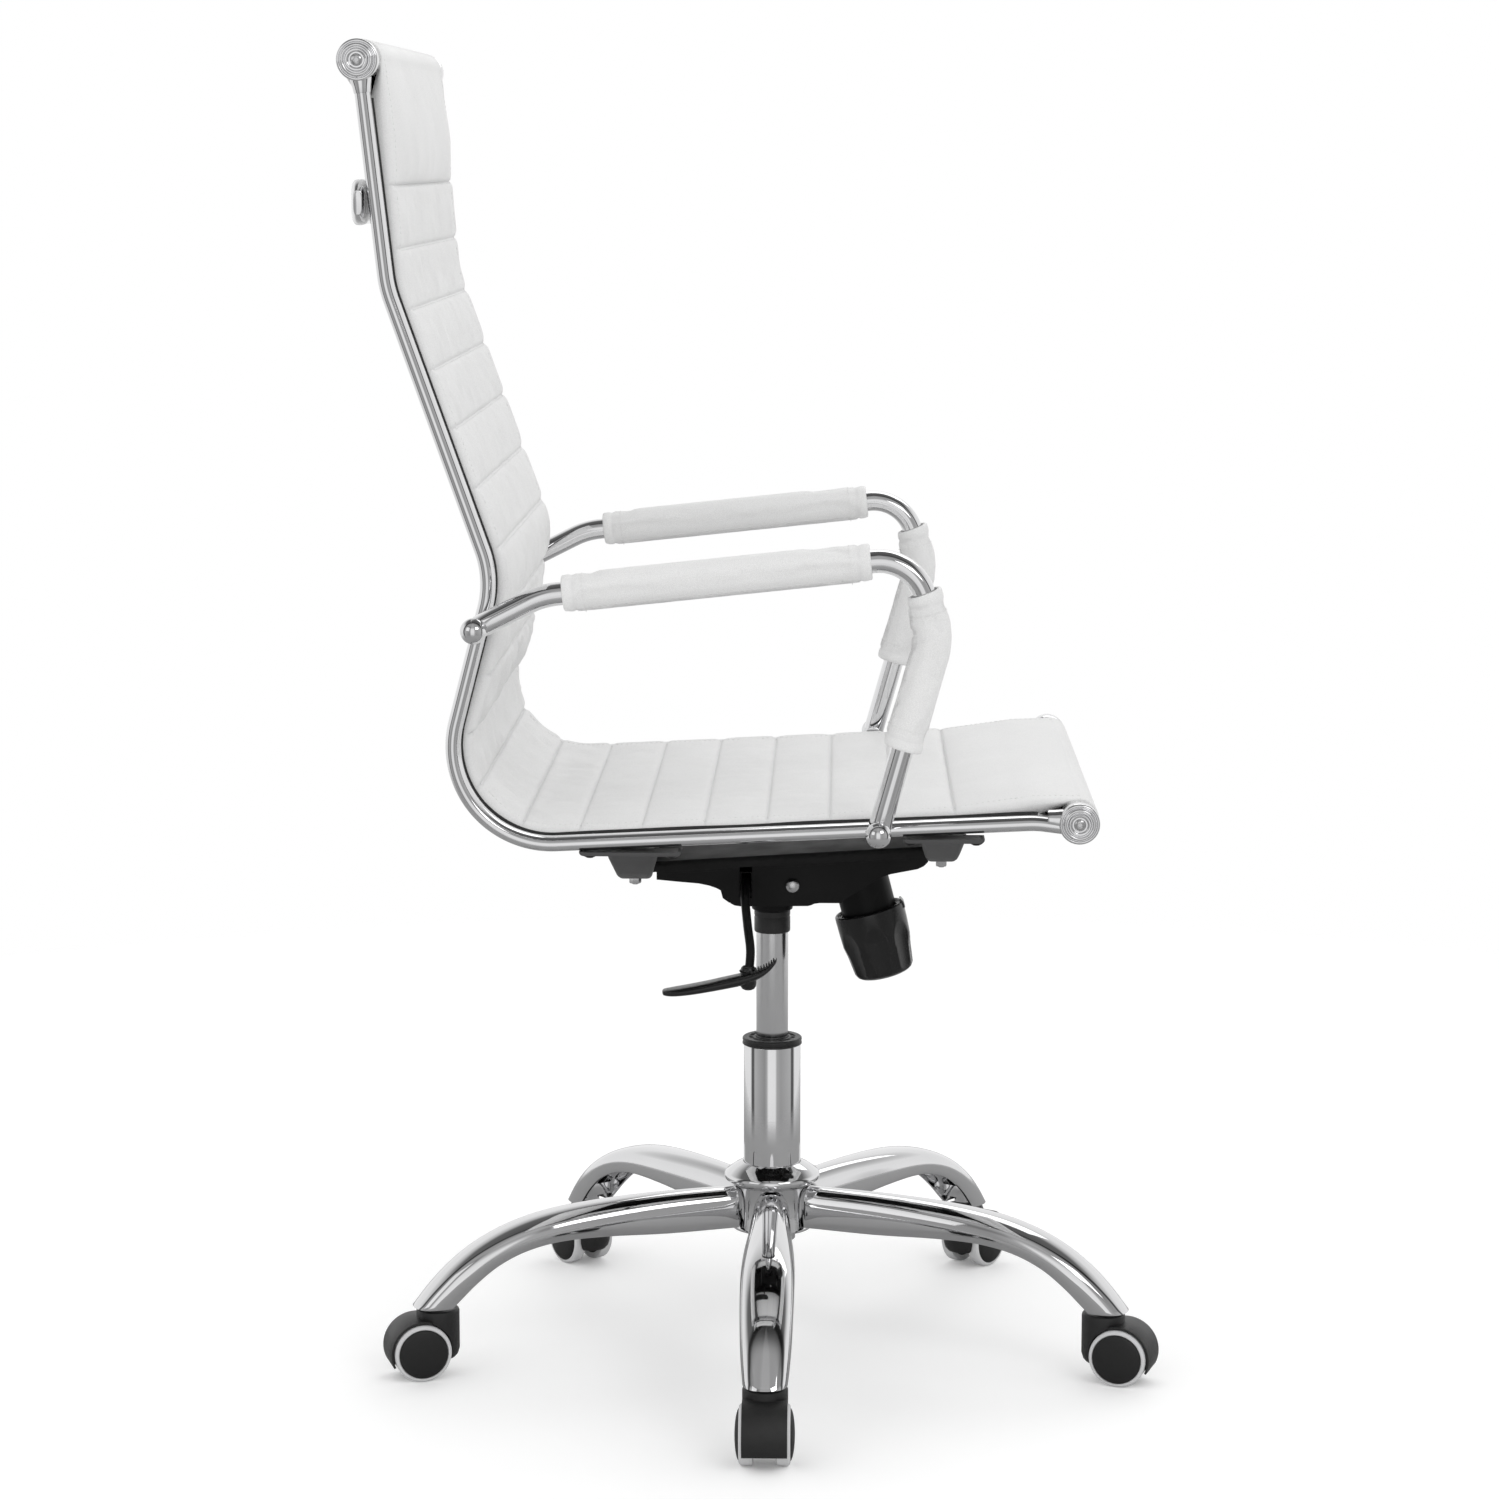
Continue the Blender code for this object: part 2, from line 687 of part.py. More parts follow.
LEVER_ROUTE = [
    (0.012, 0.0, LEVER_Z),
    (-0.010, 0.0, LEVER_Z),
    (-0.034, 0.0195, LEVER_Z),
    (-0.040, LEVER_Y, LEVER_Z),
    (-0.098, LEVER_Y, LEVER_Z),
    (-0.122, 0.0205, 0.4230),
    (-0.143, 0.0180, 0.4070),
    (-0.155, 0.0155, 0.3900),
    (-0.160, 0.0165, 0.3735),
]
# Paddle's middle line as (Y, Z, half width, half thickness), rear tip to front tip
PADDLE_LINE = [
    (0.0885, 0.3555, 0.0060, 0.0022),
    (0.0800, 0.3560, 0.0115, 0.0036),
    (0.0500, 0.3610, 0.0130, 0.0042),
    (0.0237, 0.3668, 0.0120, 0.0050),
    (0.0060, 0.3730, 0.0110, 0.0040),
    (-0.0030, 0.3795, 0.0090, 0.0026),
    (-0.0068, 0.3840, 0.0050, 0.0016),
]


def tubeRings(route, radius, sides):
    """Round rings along a 3-D route, each square to the route."""
    rings = []
    route = [Vector(point) for point in route]
    across = Vector((0, 1, 0))
    for index, point in enumerate(route):
        along = (route[min(index + 1, len(route) - 1)] - route[max(index - 1, 0)]).normalized()
        first = (across - along * across.dot(along)).normalized()
        second = along.cross(first)
        rings.append(
            [
                point + (first * math.cos(turn) + second * math.sin(turn)) * radius
                for turn in (math.tau * k / sides for k in range(sides))
            ]
        )
    return rings


def buildLever():
    low, high = 0.4150 + GAP, 0.4370
    block = extrudedMesh([(0.0130, low), (0.0300, low), (0.0300, high), (0.0130, high)], -0.052, -0.042)
    pivotBlock = finishMesh(block, "lever_slide_block", "black_plastic")
    opening = [
        (LEVER_Y - 0.0042, 0.4235),
        (LEVER_Y + 0.0042, 0.4235),
        (LEVER_Y + 0.0042, 0.4365),
        (LEVER_Y - 0.0042, 0.4365),
    ]
    combine(pivotBlock, extrudedMesh(opening[::-1], -0.060, -0.035), "DIFFERENCE")
    axis = makeEmpty("gas_lever_axis", (LEVER_PIVOT_X, LEVER_Y, LEVER_Z), chair)
    back = Matrix.Translation((-LEVER_PIVOT_X, -LEVER_Y, -LEVER_Z))
    bar = loftedMesh(tubeRings(LEVER_ROUTE, LEVER_RADIUS, 8))
    bar.transform(back)
    finishMesh(bar, "gas_lever", "black_steel", axis)
    rings = []
    for y, z, half, thick in PADDLE_LINE:
        section = oval(10, 2 * thick, 2 * half, 2.6)
        rings.append([(-0.162 + lateral, y + depth * 0.15, z + depth) for depth, lateral in section])
    blade = loftedMesh(rings)
    blade.transform(back)
    paddle = finishMesh(blade, "lever_paddle", "black_plastic", axis)
    bead = [(0, -0.0095), (0.0050, -0.0085), (0.0070, -0.004), (0.0070, 0.004), (0.0055, 0.0110), (0, 0.0110)]
    boss = turnedMesh(bead, 12)
    boss.transform(back @ Matrix.Translation((-0.160, 0.0172, 0.3665)))
    combine(paddle, boss, "UNION")
    bore = loftedMesh(tubeRings(LEVER_ROUTE[-3:], LEVER_RADIUS + GAP, 8))
    bmesh.ops.recalc_face_normals(bore, faces=bore.faces)
    bore.transform(back @ Matrix.Translation((0, 0, -GAP)))
    combine(paddle, bore, "DIFFERENCE")


# seat frame
def buildSideFrames():
    whole = filletPath(FRAME_CORNERS, math.radians(11))
    total = clippedPath(whole, 0, 1)[1]
    path = clippedPath(whole, CAP_RADIUS + 2 * GAP, total - CAP_RADIUS - 0.0016)[0]
    section = oval(10, TUBE_DEPTH, TUBE_WIDTH, 2.3)
    for side, sign in (("right", -1), ("left", 1)):
        mesh = loftedMesh(sweptRings(path, sign * FRAME_X, section))
        finishMesh(mesh, f"side_frame_{side}", "chrome")


def buildRollersAndCaps():
    cap = [
        (0, 0.2303), (CAP_RADIUS, 0.2303), (CAP_RADIUS, 0.2520), (0.0158, 0.2545),
        (0.0138, 0.2545), (0.0132, 0.2565), (0.0092, 0.2565), (0.0086, 0.2585), (0, 0.2585),
    ]
    for place, (y, z) in (("top", TOP_AXIS), ("front", FRONT_AXIS)):
        pipe = ring(ROLLER_RADIUS - 0.0015, ROLLER_RADIUS, -0.2300, 0.2300)
        finishMesh(turnedMesh(pipe, 16, alongX(0, y, z)), f"{place}_roller", "chrome")
        for side, sign in (("right", -1), ("left", 1)):
            mesh = turnedMesh([(r, x * sign) for r, x in cap], 16, alongX(0, y, z))
            finishMesh(mesh, f"{place}_cap_{side}", "chrome")


def buildBackSpreader():
    rings = []
    for step in range(7):
        x = -0.250 + 0.500 * step / 6
        bow = 0.0055 * (1 - (x / 0.250) ** 2)
        section = oval(10, 0.0360, 0.0130, 3.2)
        rings.append([(x, 0.3235 + bow + thick, 1.0105 + tall) for tall, thick in section])
    finishMesh(loftedMesh(rings), "back_spreader", "chrome")


def buildStretcher(name, middle, plateZ, lowZ, plateHalf, topHalf, lowHalf):
    """Pressed cross bar: foot plates under the side tubes, then a bridge that drops to the tilt pan."""
    thick = 0.0034
    stations = [
        (0.2520, plateZ, plateHalf),
        (0.2298, plateZ, plateHalf),
        (0.2296, plateZ, topHalf),
        (0.2265, plateZ - 0.001, topHalf),
        (0.1760, lowZ + 0.001, lowHalf),
        (0.1700, lowZ, lowHalf),
    ]
    stations += [(-x, z, half) for x, z, half in reversed(stations)]
    rings = []
    for x, z, half in stations:
        low, high = z - thick / 2, z + thick / 2
        rings.append(
            [(x, middle - half, low), (x, middle + half, low), (x, middle + half, high), (x, middle - half, high)]
        )
    finishMesh(loftedMesh(rings), name, "grey_steel", smooth=False)


def slingRings():
    """Sections of the sling: a ribbon that wraps both rollers and runs just before the frame tubes."""
    offset = 0.0030
    frame = filletPath(FRAME_CORNERS, math.radians(10))
    total = clippedPath(frame, 0, 1)[1]
    inner = clippedPath(frame, 0.060, total - 0.050)[0]
    middle = [p - n * offset for p, n in zip(inner, pathNormals(inner))]
    wrap = ROLLER_RADIUS + 0.0005 + WRAP_THICK / 2
    centreTop, centreFront = Vector(TOP_AXIS), Vector(FRONT_AXIS)

    def arc(centre, start, end, steps):
        angles = [math.radians(start + (end - start) * k / steps) for k in range(steps + 1)]
        return [centre + Vector((math.cos(a), math.sin(a))) * wrap for a in angles]

    top = [Vector((0.3255, 1.0420)), Vector((0.3310, 1.0700))]
    top += arc(centreTop, -8, 183, 10) + [Vector((0.3030, 1.0900))]
    front = [Vector((-0.2250, 0.5215))] + arc(centreFront, 75, 262, 9)
    front += [Vector((-0.2250, 0.5005)), Vector((-0.1750, 0.5055))]
    points = top + middle + front
    between = (SLING_THICK + WRAP_THICK) / 2
    thick = [WRAP_THICK] * (len(top) - 1) + [between] + [SLING_THICK] * len(middle)
    thick += [between] + [WRAP_THICK] * (len(front) - 1)
    rings = []
    for point, normal, depth in zip(points, pathNormals(points), thick):
        a, b = point + normal * depth / 2, point - normal * depth / 2
        rings.append(
            [(-SLING_HALF, a.x, a.y), (SLING_HALF, a.x, a.y), (SLING_HALF, b.x, b.y), (-SLING_HALF, b.x, b.y)]
        )
    return rings


def buildSling():
    finishMesh(loftedMesh(slingRings()), "sling_panel", "leather")


# arms
def sleeveMesh(path, x):
    """Leather tube round a stretch of the arm, open at both ends."""
    inner = oval(10, ARM_DEPTH + 0.001, ARM_WIDTH + 0.001, 2.3)
    outer = oval(10, ARM_DEPTH + 2 * SLEEVE_WALL, ARM_WIDTH + 2 * SLEEVE_WALL, 2.3)
    rings = sweptRings(path, x, outer)
    inside = sweptRings(path, x, inner)
    return loftedMesh(rings + inside[::-1], closed=True)


def buildArms():
    whole = filletPath(ARM_CORNERS, math.radians(14))
    total = clippedPath(whole, 0, 1)[1]
    path = clippedPath(whole, 0.003, total - 0.003)[0]
    lengths = [0.0]
    for before, here in zip(whole, whole[1:]):
        lengths.append(lengths[-1] + (here - before).length)

    def crossing(value, axis, after):
        """Distance along the arm where coordinate axis falls past value, looking after a distance."""
        for index in range(1, len(whole)):
            a, b = whole[index - 1][axis], whole[index][axis]
            if lengths[index] > after and a >= value > b:
                return lengths[index - 1] + (a - value) / (a - b) * (lengths[index] - lengths[index - 1])
        return total

    topStart, topEnd = crossing(TOP_SLEEVE[0], 0, 0), crossing(TOP_SLEEVE[1], 0, 0)
    frontStart, frontEnd = crossing(FRONT_SLEEVE[0], 1, 0.30), crossing(FRONT_SLEEVE[1], 1, 0.30)
    section = oval(10, ARM_DEPTH, ARM_WIDTH, 2.3)
    for side, sign in (("right", -1), ("left", 1)):
        x = sign * ARM_X
        arm = finishMesh(loftedMesh(sweptRings(path, x, section)), f"arm_tube_{side}", "chrome")
        for y, z, _ in (ARM_CORNERS[0], ARM_CORNERS[-1]):
            boss = [(0, 0.2530), (0.0075, 0.2530), (0.0075, 0.2700), (0.0082, 0.2755)]
            for step in range(1, 5):
                angle = math.radians(-42 + 132 * step / 4)
                boss.append((max(0.0, 0.0105 * math.cos(angle)), 0.2835 + 0.0105 * math.sin(angle)))
            mesh = turnedMesh([(r, along * sign) for r, along in boss], 10, alongX(0, y, z))
            bmesh.ops.remove_doubles(mesh, verts=mesh.verts, dist=1e-6)
            bmesh.ops.recalc_face_normals(mesh, faces=mesh.faces)
            combine(arm, mesh, "UNION")
        for name, start, end in (("top", topStart, topEnd), ("front", frontStart, frontEnd)):
            finishMesh(sleeveMesh(clippedPath(whole, start, end)[0], x), f"arm_sleeve_{name}_{side}", "leather")


buildHub()
for index in range(LEG_COUNT):
    legAxis = makeEmpty(f"leg_{index + 1}_direction", (0, 0, 0), chair, math.pi + math.tau * index / LEG_COUNT)
    buildLeg(index + 1, legAxis)
    buildCaster(index + 1, legAxis)
buildColumn()
buildBracket()
buildPan()
buildPivotPin()
buildSpring()
buildKnob()
buildLever()
buildSideFrames()
buildRollersAndCaps()
buildBackSpreader()
buildStretcher("rear_stretcher", 0.1105, 0.4888, 0.4567, 0.0415, 0.0215, 0.0145)
buildStretcher("front_stretcher", -0.1430, 0.5003, 0.4722, 0.0330, 0.0190, 0.0130)
buildSling()
buildArms()
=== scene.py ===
import math

import bmesh
import bpy
import numpy as np
from mathutils import Matrix, Vector


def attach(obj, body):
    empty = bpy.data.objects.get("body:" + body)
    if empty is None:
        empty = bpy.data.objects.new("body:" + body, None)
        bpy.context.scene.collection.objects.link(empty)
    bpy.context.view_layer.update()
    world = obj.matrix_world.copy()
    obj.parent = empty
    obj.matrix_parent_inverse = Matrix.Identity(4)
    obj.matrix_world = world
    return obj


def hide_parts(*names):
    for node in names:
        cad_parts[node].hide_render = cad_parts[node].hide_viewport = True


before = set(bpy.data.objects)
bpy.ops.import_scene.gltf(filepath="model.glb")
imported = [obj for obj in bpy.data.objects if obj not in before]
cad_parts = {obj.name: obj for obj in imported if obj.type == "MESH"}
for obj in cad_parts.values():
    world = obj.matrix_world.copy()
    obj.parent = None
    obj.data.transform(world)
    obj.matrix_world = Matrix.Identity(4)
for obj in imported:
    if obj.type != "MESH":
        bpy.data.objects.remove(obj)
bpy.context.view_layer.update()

columnX = 0.0270  # the gas column's axis stands here; every length below is measured from it
gap = 0.0003

# camera, floor and light

cameraPlace = {"at": (-3.27245, -0.05932, 1.04817), "heading": 0.0240329, "down": 0.1541193, "lens": 92.031}
studio = {
    "soft": 0.86, "mirror": 1.0, "key": 12.0, "fill": 4.0, "rear": 8.0, "floorSize": 6,
    "floorFade": (0.9, 2.0), "floorTone": 0.93, "floorGlow": 0.17, "reflectedFloorShade": 0.36,
    "frontCeiling": 0.32,
    "dome": [(0, 0.75), (0.5, 0.95), (0.75, 1.05), (1, 1.12)],
    "walls": [(0, 0.60), (0.46, 0.95), (0.5, 1.0), (0.70, 0.95), (0.79, 0.60), (0.86, 0.16), (1, 0.10)],
    "ceiling": [(0.80, 0.0), (0.88, 1.0)],
    "flags": [
        (0, 0.95), (0.215, 0.92), (0.238, 0.14), (0.262, 0.07), (0.280, 0.50), (0.40, 0.38), (0.445, 0.46),
        (0.462, 0.92), (0.538, 0.94), (0.555, 0.46), (0.58, 0.32), (0.70, 0.50), (0.722, 0.07), (0.742, 0.12),
        (0.765, 0.92), (1, 0.95),
    ],
}


def linked(name, data):
    thing = bpy.data.objects.new(name, data)
    bpy.context.scene.collection.objects.link(thing)
    return thing


def buildCamera():
    heading, down = cameraPlace["heading"], cameraPlace["down"]
    ahead = Vector((math.cos(heading) * math.cos(down), math.sin(heading) * math.cos(down), -math.sin(down)))
    right = Vector((math.sin(heading), -math.cos(heading), 0))
    up = right.cross(ahead)
    data = bpy.data.cameras.new("camera")
    data.lens, data.sensor_width, data.clip_end = cameraPlace["lens"], 36, 60
    camera = linked("camera", data)
    turn = Matrix((right, up, -ahead)).transposed().to_4x4()
    camera.matrix_world = Matrix.Translation(cameraPlace["at"]) @ turn
    bpy.context.scene.camera = camera


def feed(tree, node, feeds):
    # each input, by name or number, takes a value or another node's output
    for key, value in feeds.items():
        if isinstance(value, bpy.types.NodeSocket):
            tree.links.new(value, node.inputs[key])
        else:
            node.inputs[key].default_value = value


def addNode(tree, kind, feeds=None, **settings):
    node = tree.nodes.new(kind)
    for key, value in settings.items():
        setattr(node, key, value)
    feed(tree, node, feeds or {})
    return node


def calculated(tree, operation, *values, **settings):
    return addNode(
        tree, "ShaderNodeMath", dict(enumerate(values)), operation=operation, **settings,
    ).outputs[0]


def vectors(tree, operation, feeds):
    return addNode(tree, "ShaderNodeVectorMath", feeds, operation=operation).outputs


def noise(tree, vector, **values):
    return addNode(tree, "ShaderNodeTexNoise", {"Vector": vector, **values}).outputs


def ranged(tree, value, low, high, feeds=None, **settings):
    feeds = {"Value": value, "From Min": low, "From Max": high, **(feeds or {})}
    return addNode(tree, "ShaderNodeMapRange", feeds, **settings).outputs["Result"]


def mixed(tree, share, first, second, blend="MIX"):
    feeds = {"Factor": share, "A": first, "B": second}
    return addNode(tree, "ShaderNodeMix", feeds, data_type="RGBA", blend_type=blend).outputs["Result"]


def rampNode(tree, source, stops):
    ramp = addNode(tree, "ShaderNodeValToRGB", {"Fac": source})
    band = ramp.color_ramp
    while len(band.elements) < len(stops):
        band.elements.new(0.5)
    for element, (place, value) in zip(band.elements, stops):
        element.position = place
        element.color = (value, value, value, 1)
    return ramp.outputs["Color"]


def buildWorld():
    world = bpy.data.worlds.new("studio")
    bpy.context.scene.world = world
    world.use_nodes = True
    tree = world.node_tree
    tree.nodes.clear()
    place = addNode(tree, "ShaderNodeTexCoord").outputs["Generated"]
    parts = addNode(tree, "ShaderNodeSeparateXYZ", {0: place}).outputs
    height = calculated(tree, "MULTIPLY_ADD", parts["Z"], 0.5, 0.5)
    back = calculated(tree, "MULTIPLY", parts["X"], -1)
    turn = calculated(tree, "ARCTAN2", parts["Y"], back)
    side = calculated(tree, "MULTIPLY_ADD", turn, 1 / math.tau, 0.5)
    # what polished parts mirror: bright walls and floor under a dark ceiling, with narrow dark flags
    walls, flags = rampNode(tree, height, studio["walls"]), rampNode(tree, side, studio["flags"])
    mirrored = mixed(tree, 1, walls, flags, "MULTIPLY")
    # the ceiling is brighter on the camera's side
    near = ranged(tree, back, 0.02, 0.34, interpolation_type="SMOOTHSTEP")
    boost = calculated(tree, "MULTIPLY", near, rampNode(tree, height, studio["ceiling"]))
    lighter = calculated(tree, "MULTIPLY", boost, studio["frontCeiling"])
    raised = vectors(tree, "ADD", {0: mirrored, 1: lighter})[0]
    # the soft light that matte parts receive
    dome = rampNode(tree, height, studio["dome"])
    shades = []
    for color, strength in ((dome, studio["soft"]), (raised, studio["mirror"]), ((1, 1, 1, 1), 1.0)):
        feeds = {"Color": color, "Strength": strength}
        shades.append(addNode(tree, "ShaderNodeBackground", feeds).outputs[0])
    path = addNode(tree, "ShaderNodeLightPath").outputs
    result = shades[0]
    for ray, shade in (("Is Glossy Ray", shades[1]), ("Is Camera Ray", shades[2])):
        result = addNode(tree, "ShaderNodeMixShader", {"Fac": path[ray], 1: result, 2: shade}).outputs[0]
    addNode(tree, "ShaderNodeOutputWorld", {"Surface": result})


def buildLights():
    boxes = [
        ("key", (-2.2, -1.6, 2.3), (1.5, 1.1)),
        ("fill", (-2.0, 2.0, 1.7), (1.4, 1.4)),
        ("rear", (2.2, -0.6, 2.2), (1.6, 1.2)),
    ]
    seatMiddle = Vector((0, 0, 0.6))
    for name, place, size in boxes:
        data = bpy.data.lights.new(name, "AREA")
        data.shape, data.size, data.size_y, data.energy = "RECTANGLE", size[0], size[1], studio[name]
        light = linked(name, data)
        light.location = place
        light.rotation_euler = (seatMiddle - Vector(place)).to_track_quat("-Z", "Y").to_euler()


def buildFloor():
    mesh = bmesh.new()
    bmesh.ops.create_circle(mesh, cap_ends=True, radius=studio["floorSize"], segments=64)
    data = bpy.data.meshes.new("floor")
    mesh.to_mesh(data)
    mesh.free()
    floor = linked("floor", data)
    material, tree, shader, place = startMaterial("paleFloor")
    path = addNode(tree, "ShaderNodeLightPath").outputs
    # polished parts see the floor in a darker grey than the camera does: painted shade in their reflections
    plain, mirrored = ((*[studio[key]] * 3, 1) for key in ("floorTone", "reflectedFloorShade"))
    feed(tree, shader, {
        "Roughness": 0.75,
        "Specular IOR Level": 0.15,
        "Base Color": mixed(tree, path["Is Glossy Ray"], plain, mirrored),
        "Emission Color": (1, 1, 1, 1),
        "Emission Strength": calculated(tree, "MULTIPLY", path["Is Camera Ray"], studio["floorGlow"]),
    })
    reach = vectors(tree, "LENGTH", {0: place})["Value"]
    clear = addNode(tree, "ShaderNodeBsdfTransparent").outputs[0]
    feeds = {"Fac": ranged(tree, reach, *studio["floorFade"]), 1: shader.outputs[0], 2: clear}
    faded = addNode(tree, "ShaderNodeMixShader", feeds).outputs[0]
    feed(tree, tree.nodes["Material Output"], {"Surface": faded})
    data.materials.append(material)


# surface effects that several finishes share


def newGroup(name, kind, ins, outs):
    tree = bpy.data.node_groups.new(name, kind + "NodeTree")
    for way, labels in (("INPUT", ins), ("OUTPUT", outs)):
        for label, socketKind, *value in labels:
            socket = tree.interface.new_socket(name=label, in_out=way, socket_type="NodeSocket" + socketKind)
            if value:
                socket.default_value = value[0]
    return tree, addNode(tree, "NodeGroupInput").outputs, addNode(tree, "NodeGroupOutput")


def handlingGroup():
    # polish that hands and cloths leave uneven: a roughness that drifts, and faint hairlines
    ins = [("Vector", "Vector"), ("Scale", "Float", 14.0), ("Low", "Float", 0.05), ("High", "Float", 0.12)]
    tree, given, out = newGroup("handling", "Shader", ins, [("Roughness", "Float"), ("Hairlines", "Float")])
    cloud = noise(tree, given["Vector"], Scale=given["Scale"], Detail=5)["Fac"]
    drift = ranged(tree, cloud, 0.32, 0.68, {"To Min": given["Low"], "To Max": given["High"]})
    feeds = {"Vector": given["Vector"], "Rotation": (0.5, 0.3, 0.9), "Scale": (900, 40, 900)}
    stretched = addNode(tree, "ShaderNodeMapping", feeds).outputs[0]
    lines = noise(tree, stretched, Scale=1.0)["Fac"]
    feed(tree, out, {"Roughness": drift, "Hairlines": ranged(tree, lines, 0.66, 0.76)})
    return tree


def edgeWearGroup():
    # worn colour along edges, broken up by a noise
    ins = [
        ("Vector", "Vector"), ("Color", "Color", (0.02, 0.02, 0.02, 1)),
        ("Worn", "Color", (0.1, 0.1, 0.1, 1)),
        ("Amount", "Float", 0.5), ("Scale", "Float", 220.0), ("Mottle", "Float", 0.12),
    ]
    tree, given, out = newGroup("edgeWear", "Shader", ins, [("Color", "Color"), ("Mask", "Float")])
    edge = addNode(tree, "ShaderNodeAttribute", attribute_name="edgeMask").outputs["Fac"]
    specks = noise(tree, given["Vector"], Scale=given["Scale"], Detail=6)["Fac"]
    both = calculated(tree, "MULTIPLY", edge, ranged(tree, specks, 0.40, 0.62))
    mask = calculated(tree, "MULTIPLY", both, given["Amount"], use_clamp=True)
    patch = noise(tree, given["Vector"], Scale=23, Detail=4)["Fac"]
    shade = calculated(tree, "MULTIPLY_ADD", patch, given["Mottle"], 0.94)
    tint = vectors(tree, "SCALE", {0: given["Color"], "Scale": shade})[0]
    feed(tree, out, {"Color": mixed(tree, mask, tint, given["Worn"]), "Mask": mask})
    return tree


def grainGroup():
    # cells with creases between them, for leather and for moulded grain
    ins = [
        ("Vector", "Vector"), ("Cells", "Float", 900.0), ("Fine", "Float", 2400.0),
        ("Wrinkles", "Float", 45.0),
    ]
    tree, given, out = newGroup("grain", "Shader", ins, [("Height", "Float"), ("Crease", "Float")])
    bend = noise(tree, given["Vector"], Scale=160)["Color"]
    push = vectors(tree, "MULTIPLY_ADD", {0: bend, 1: (0.0022, 0.0022, 0.0022), 2: given["Vector"]})[0]
    feeds = {"Vector": push, "Scale": given["Cells"]}
    cells = addNode(tree, "ShaderNodeTexVoronoi", feeds, feature="DISTANCE_TO_EDGE").outputs["Distance"]
    crease = ranged(tree, cells, 0.0, 0.22, interpolation_type="SMOOTHSTEP")
    fine = noise(tree, given["Vector"], Scale=given["Fine"])["Fac"]
    broad = noise(tree, given["Vector"], Scale=given["Wrinkles"], Detail=4)["Fac"]
    first = calculated(tree, "MULTIPLY_ADD", fine, 0.35, crease)
    feed(tree, out, {"Height": calculated(tree, "MULTIPLY_ADD", broad, 1.6, first), "Crease": crease})
    return tree


handling, edgeWear, grain = handlingGroup(), edgeWearGroup(), grainGroup()


def placeGroup(tree, group, vector, **values):
    return addNode(tree, "ShaderNodeGroup", {"Vector": vector, **values}, node_tree=group).outputs


def bumpNode(tree, shader, height, strength, distance, before=None):
    feeds = {"Strength": strength, "Distance": distance, "Height": height}
    if before:
        feeds["Normal"] = before
    bump = addNode(tree, "ShaderNodeBump", feeds).outputs[0]
    feed(tree, shader, {"Normal": bump})
    return bump


def startMaterial(name):
    material = bpy.data.materials.new(name)
    material.use_nodes = True
    tree = material.node_tree
    place = addNode(tree, "ShaderNodeTexCoord")
    return material, tree, tree.nodes["Principled BSDF"], place.outputs["Object"]


def grey(value):
    return (value, value, value * 1.01, 1)


def metalMaterial(
    name, tone, worn, roughness,
    scale=14.0, hairlines=0.05, amount=0.3, metallic=1.0, streak=None, specular=0.5,
):
    material, tree, shader, place = startMaterial(name)
    wear = placeGroup(tree, edgeWear, place, Color=grey(tone), Worn=grey(worn), Amount=amount, Mottle=0.06)
    touch = placeGroup(tree, handling, place, Scale=scale, Low=roughness[0], High=roughness[1])
    feed(tree, shader, {
        "Metallic": metallic, "Specular IOR Level": specular,
        "Base Color": wear["Color"], "Roughness": touch["Roughness"],
    })
    first = bumpNode(tree, shader, touch["Hairlines"], hairlines, 0.0001)
    if streak:  # brushed along one direction
        stretched = addNode(tree, "ShaderNodeMapping", {"Scale": streak, "Vector": place}).outputs[0]
        bumpNode(tree, shader, noise(tree, stretched, Scale=1.0, Detail=6)["Fac"], 0.25, 0.0003, first)
    return material


def mouldedMaterial(name, tone, worn, roughness, cells, bump, amount=0.6, specular=0.5):
    material, tree, shader, place = startMaterial(name)
    wear = placeGroup(tree, edgeWear, place, Color=grey(tone), Worn=grey(worn), Amount=amount)
    touch = placeGroup(tree, handling, place, Scale=30.0, Low=roughness[0], High=roughness[1])
    skin = placeGroup(tree, grain, place, Cells=cells, Fine=cells * 2.2, Wrinkles=20.0)
    feed(tree, shader, {
        "Specular IOR Level": specular, "Base Color": wear["Color"], "Roughness": touch["Roughness"],
    })
    bumpNode(tree, shader, skin["Height"], bump, 0.0003)
    return material


# seam is the darker tone painted as shade into seam grooves, hems and rolled edges
leatherLook = {"pale": 0.86, "deep": 0.80, "seam": 0.74, "creases": 0.10, "cells": 780.0, "fine": 2100.0}


def leatherMaterial():
    k = leatherLook
    material, tree, shader, place = startMaterial("whiteLeather")
    # painted shade: where the seamShade attribute is high, in seam grooves, the flap's sewn line, rolled
    # edges and sleeve hems and seams, the leather is darkened towards the seam tone
    seam = addNode(tree, "ShaderNodeAttribute", attribute_name="seamShade").outputs["Fac"]
    skin = placeGroup(tree, grain, place, Cells=k["cells"], Fine=k["fine"], Wrinkles=38.0)
    patch = noise(tree, place, Scale=9, Detail=5)["Fac"]
    tone = mixed(tree, patch, (*[k["deep"]] * 3, 1), (k["pale"], k["pale"], k["pale"] - 0.005, 1))
    creased = mixed(tree, k["creases"], tone, skin["Crease"], "MULTIPLY")
    touch = placeGroup(tree, handling, place, Scale=11.0, Low=0.40, High=0.55)
    feed(tree, shader, {
        "Specular IOR Level": 0.42, "Sheen Weight": 0.06, "Roughness": touch["Roughness"],
        "Base Color": mixed(tree, seam, creased, (*[k["seam"]] * 3, 1)),
    })
    bumpNode(tree, shader, skin["Height"], 0.30, 0.0004)
    return material


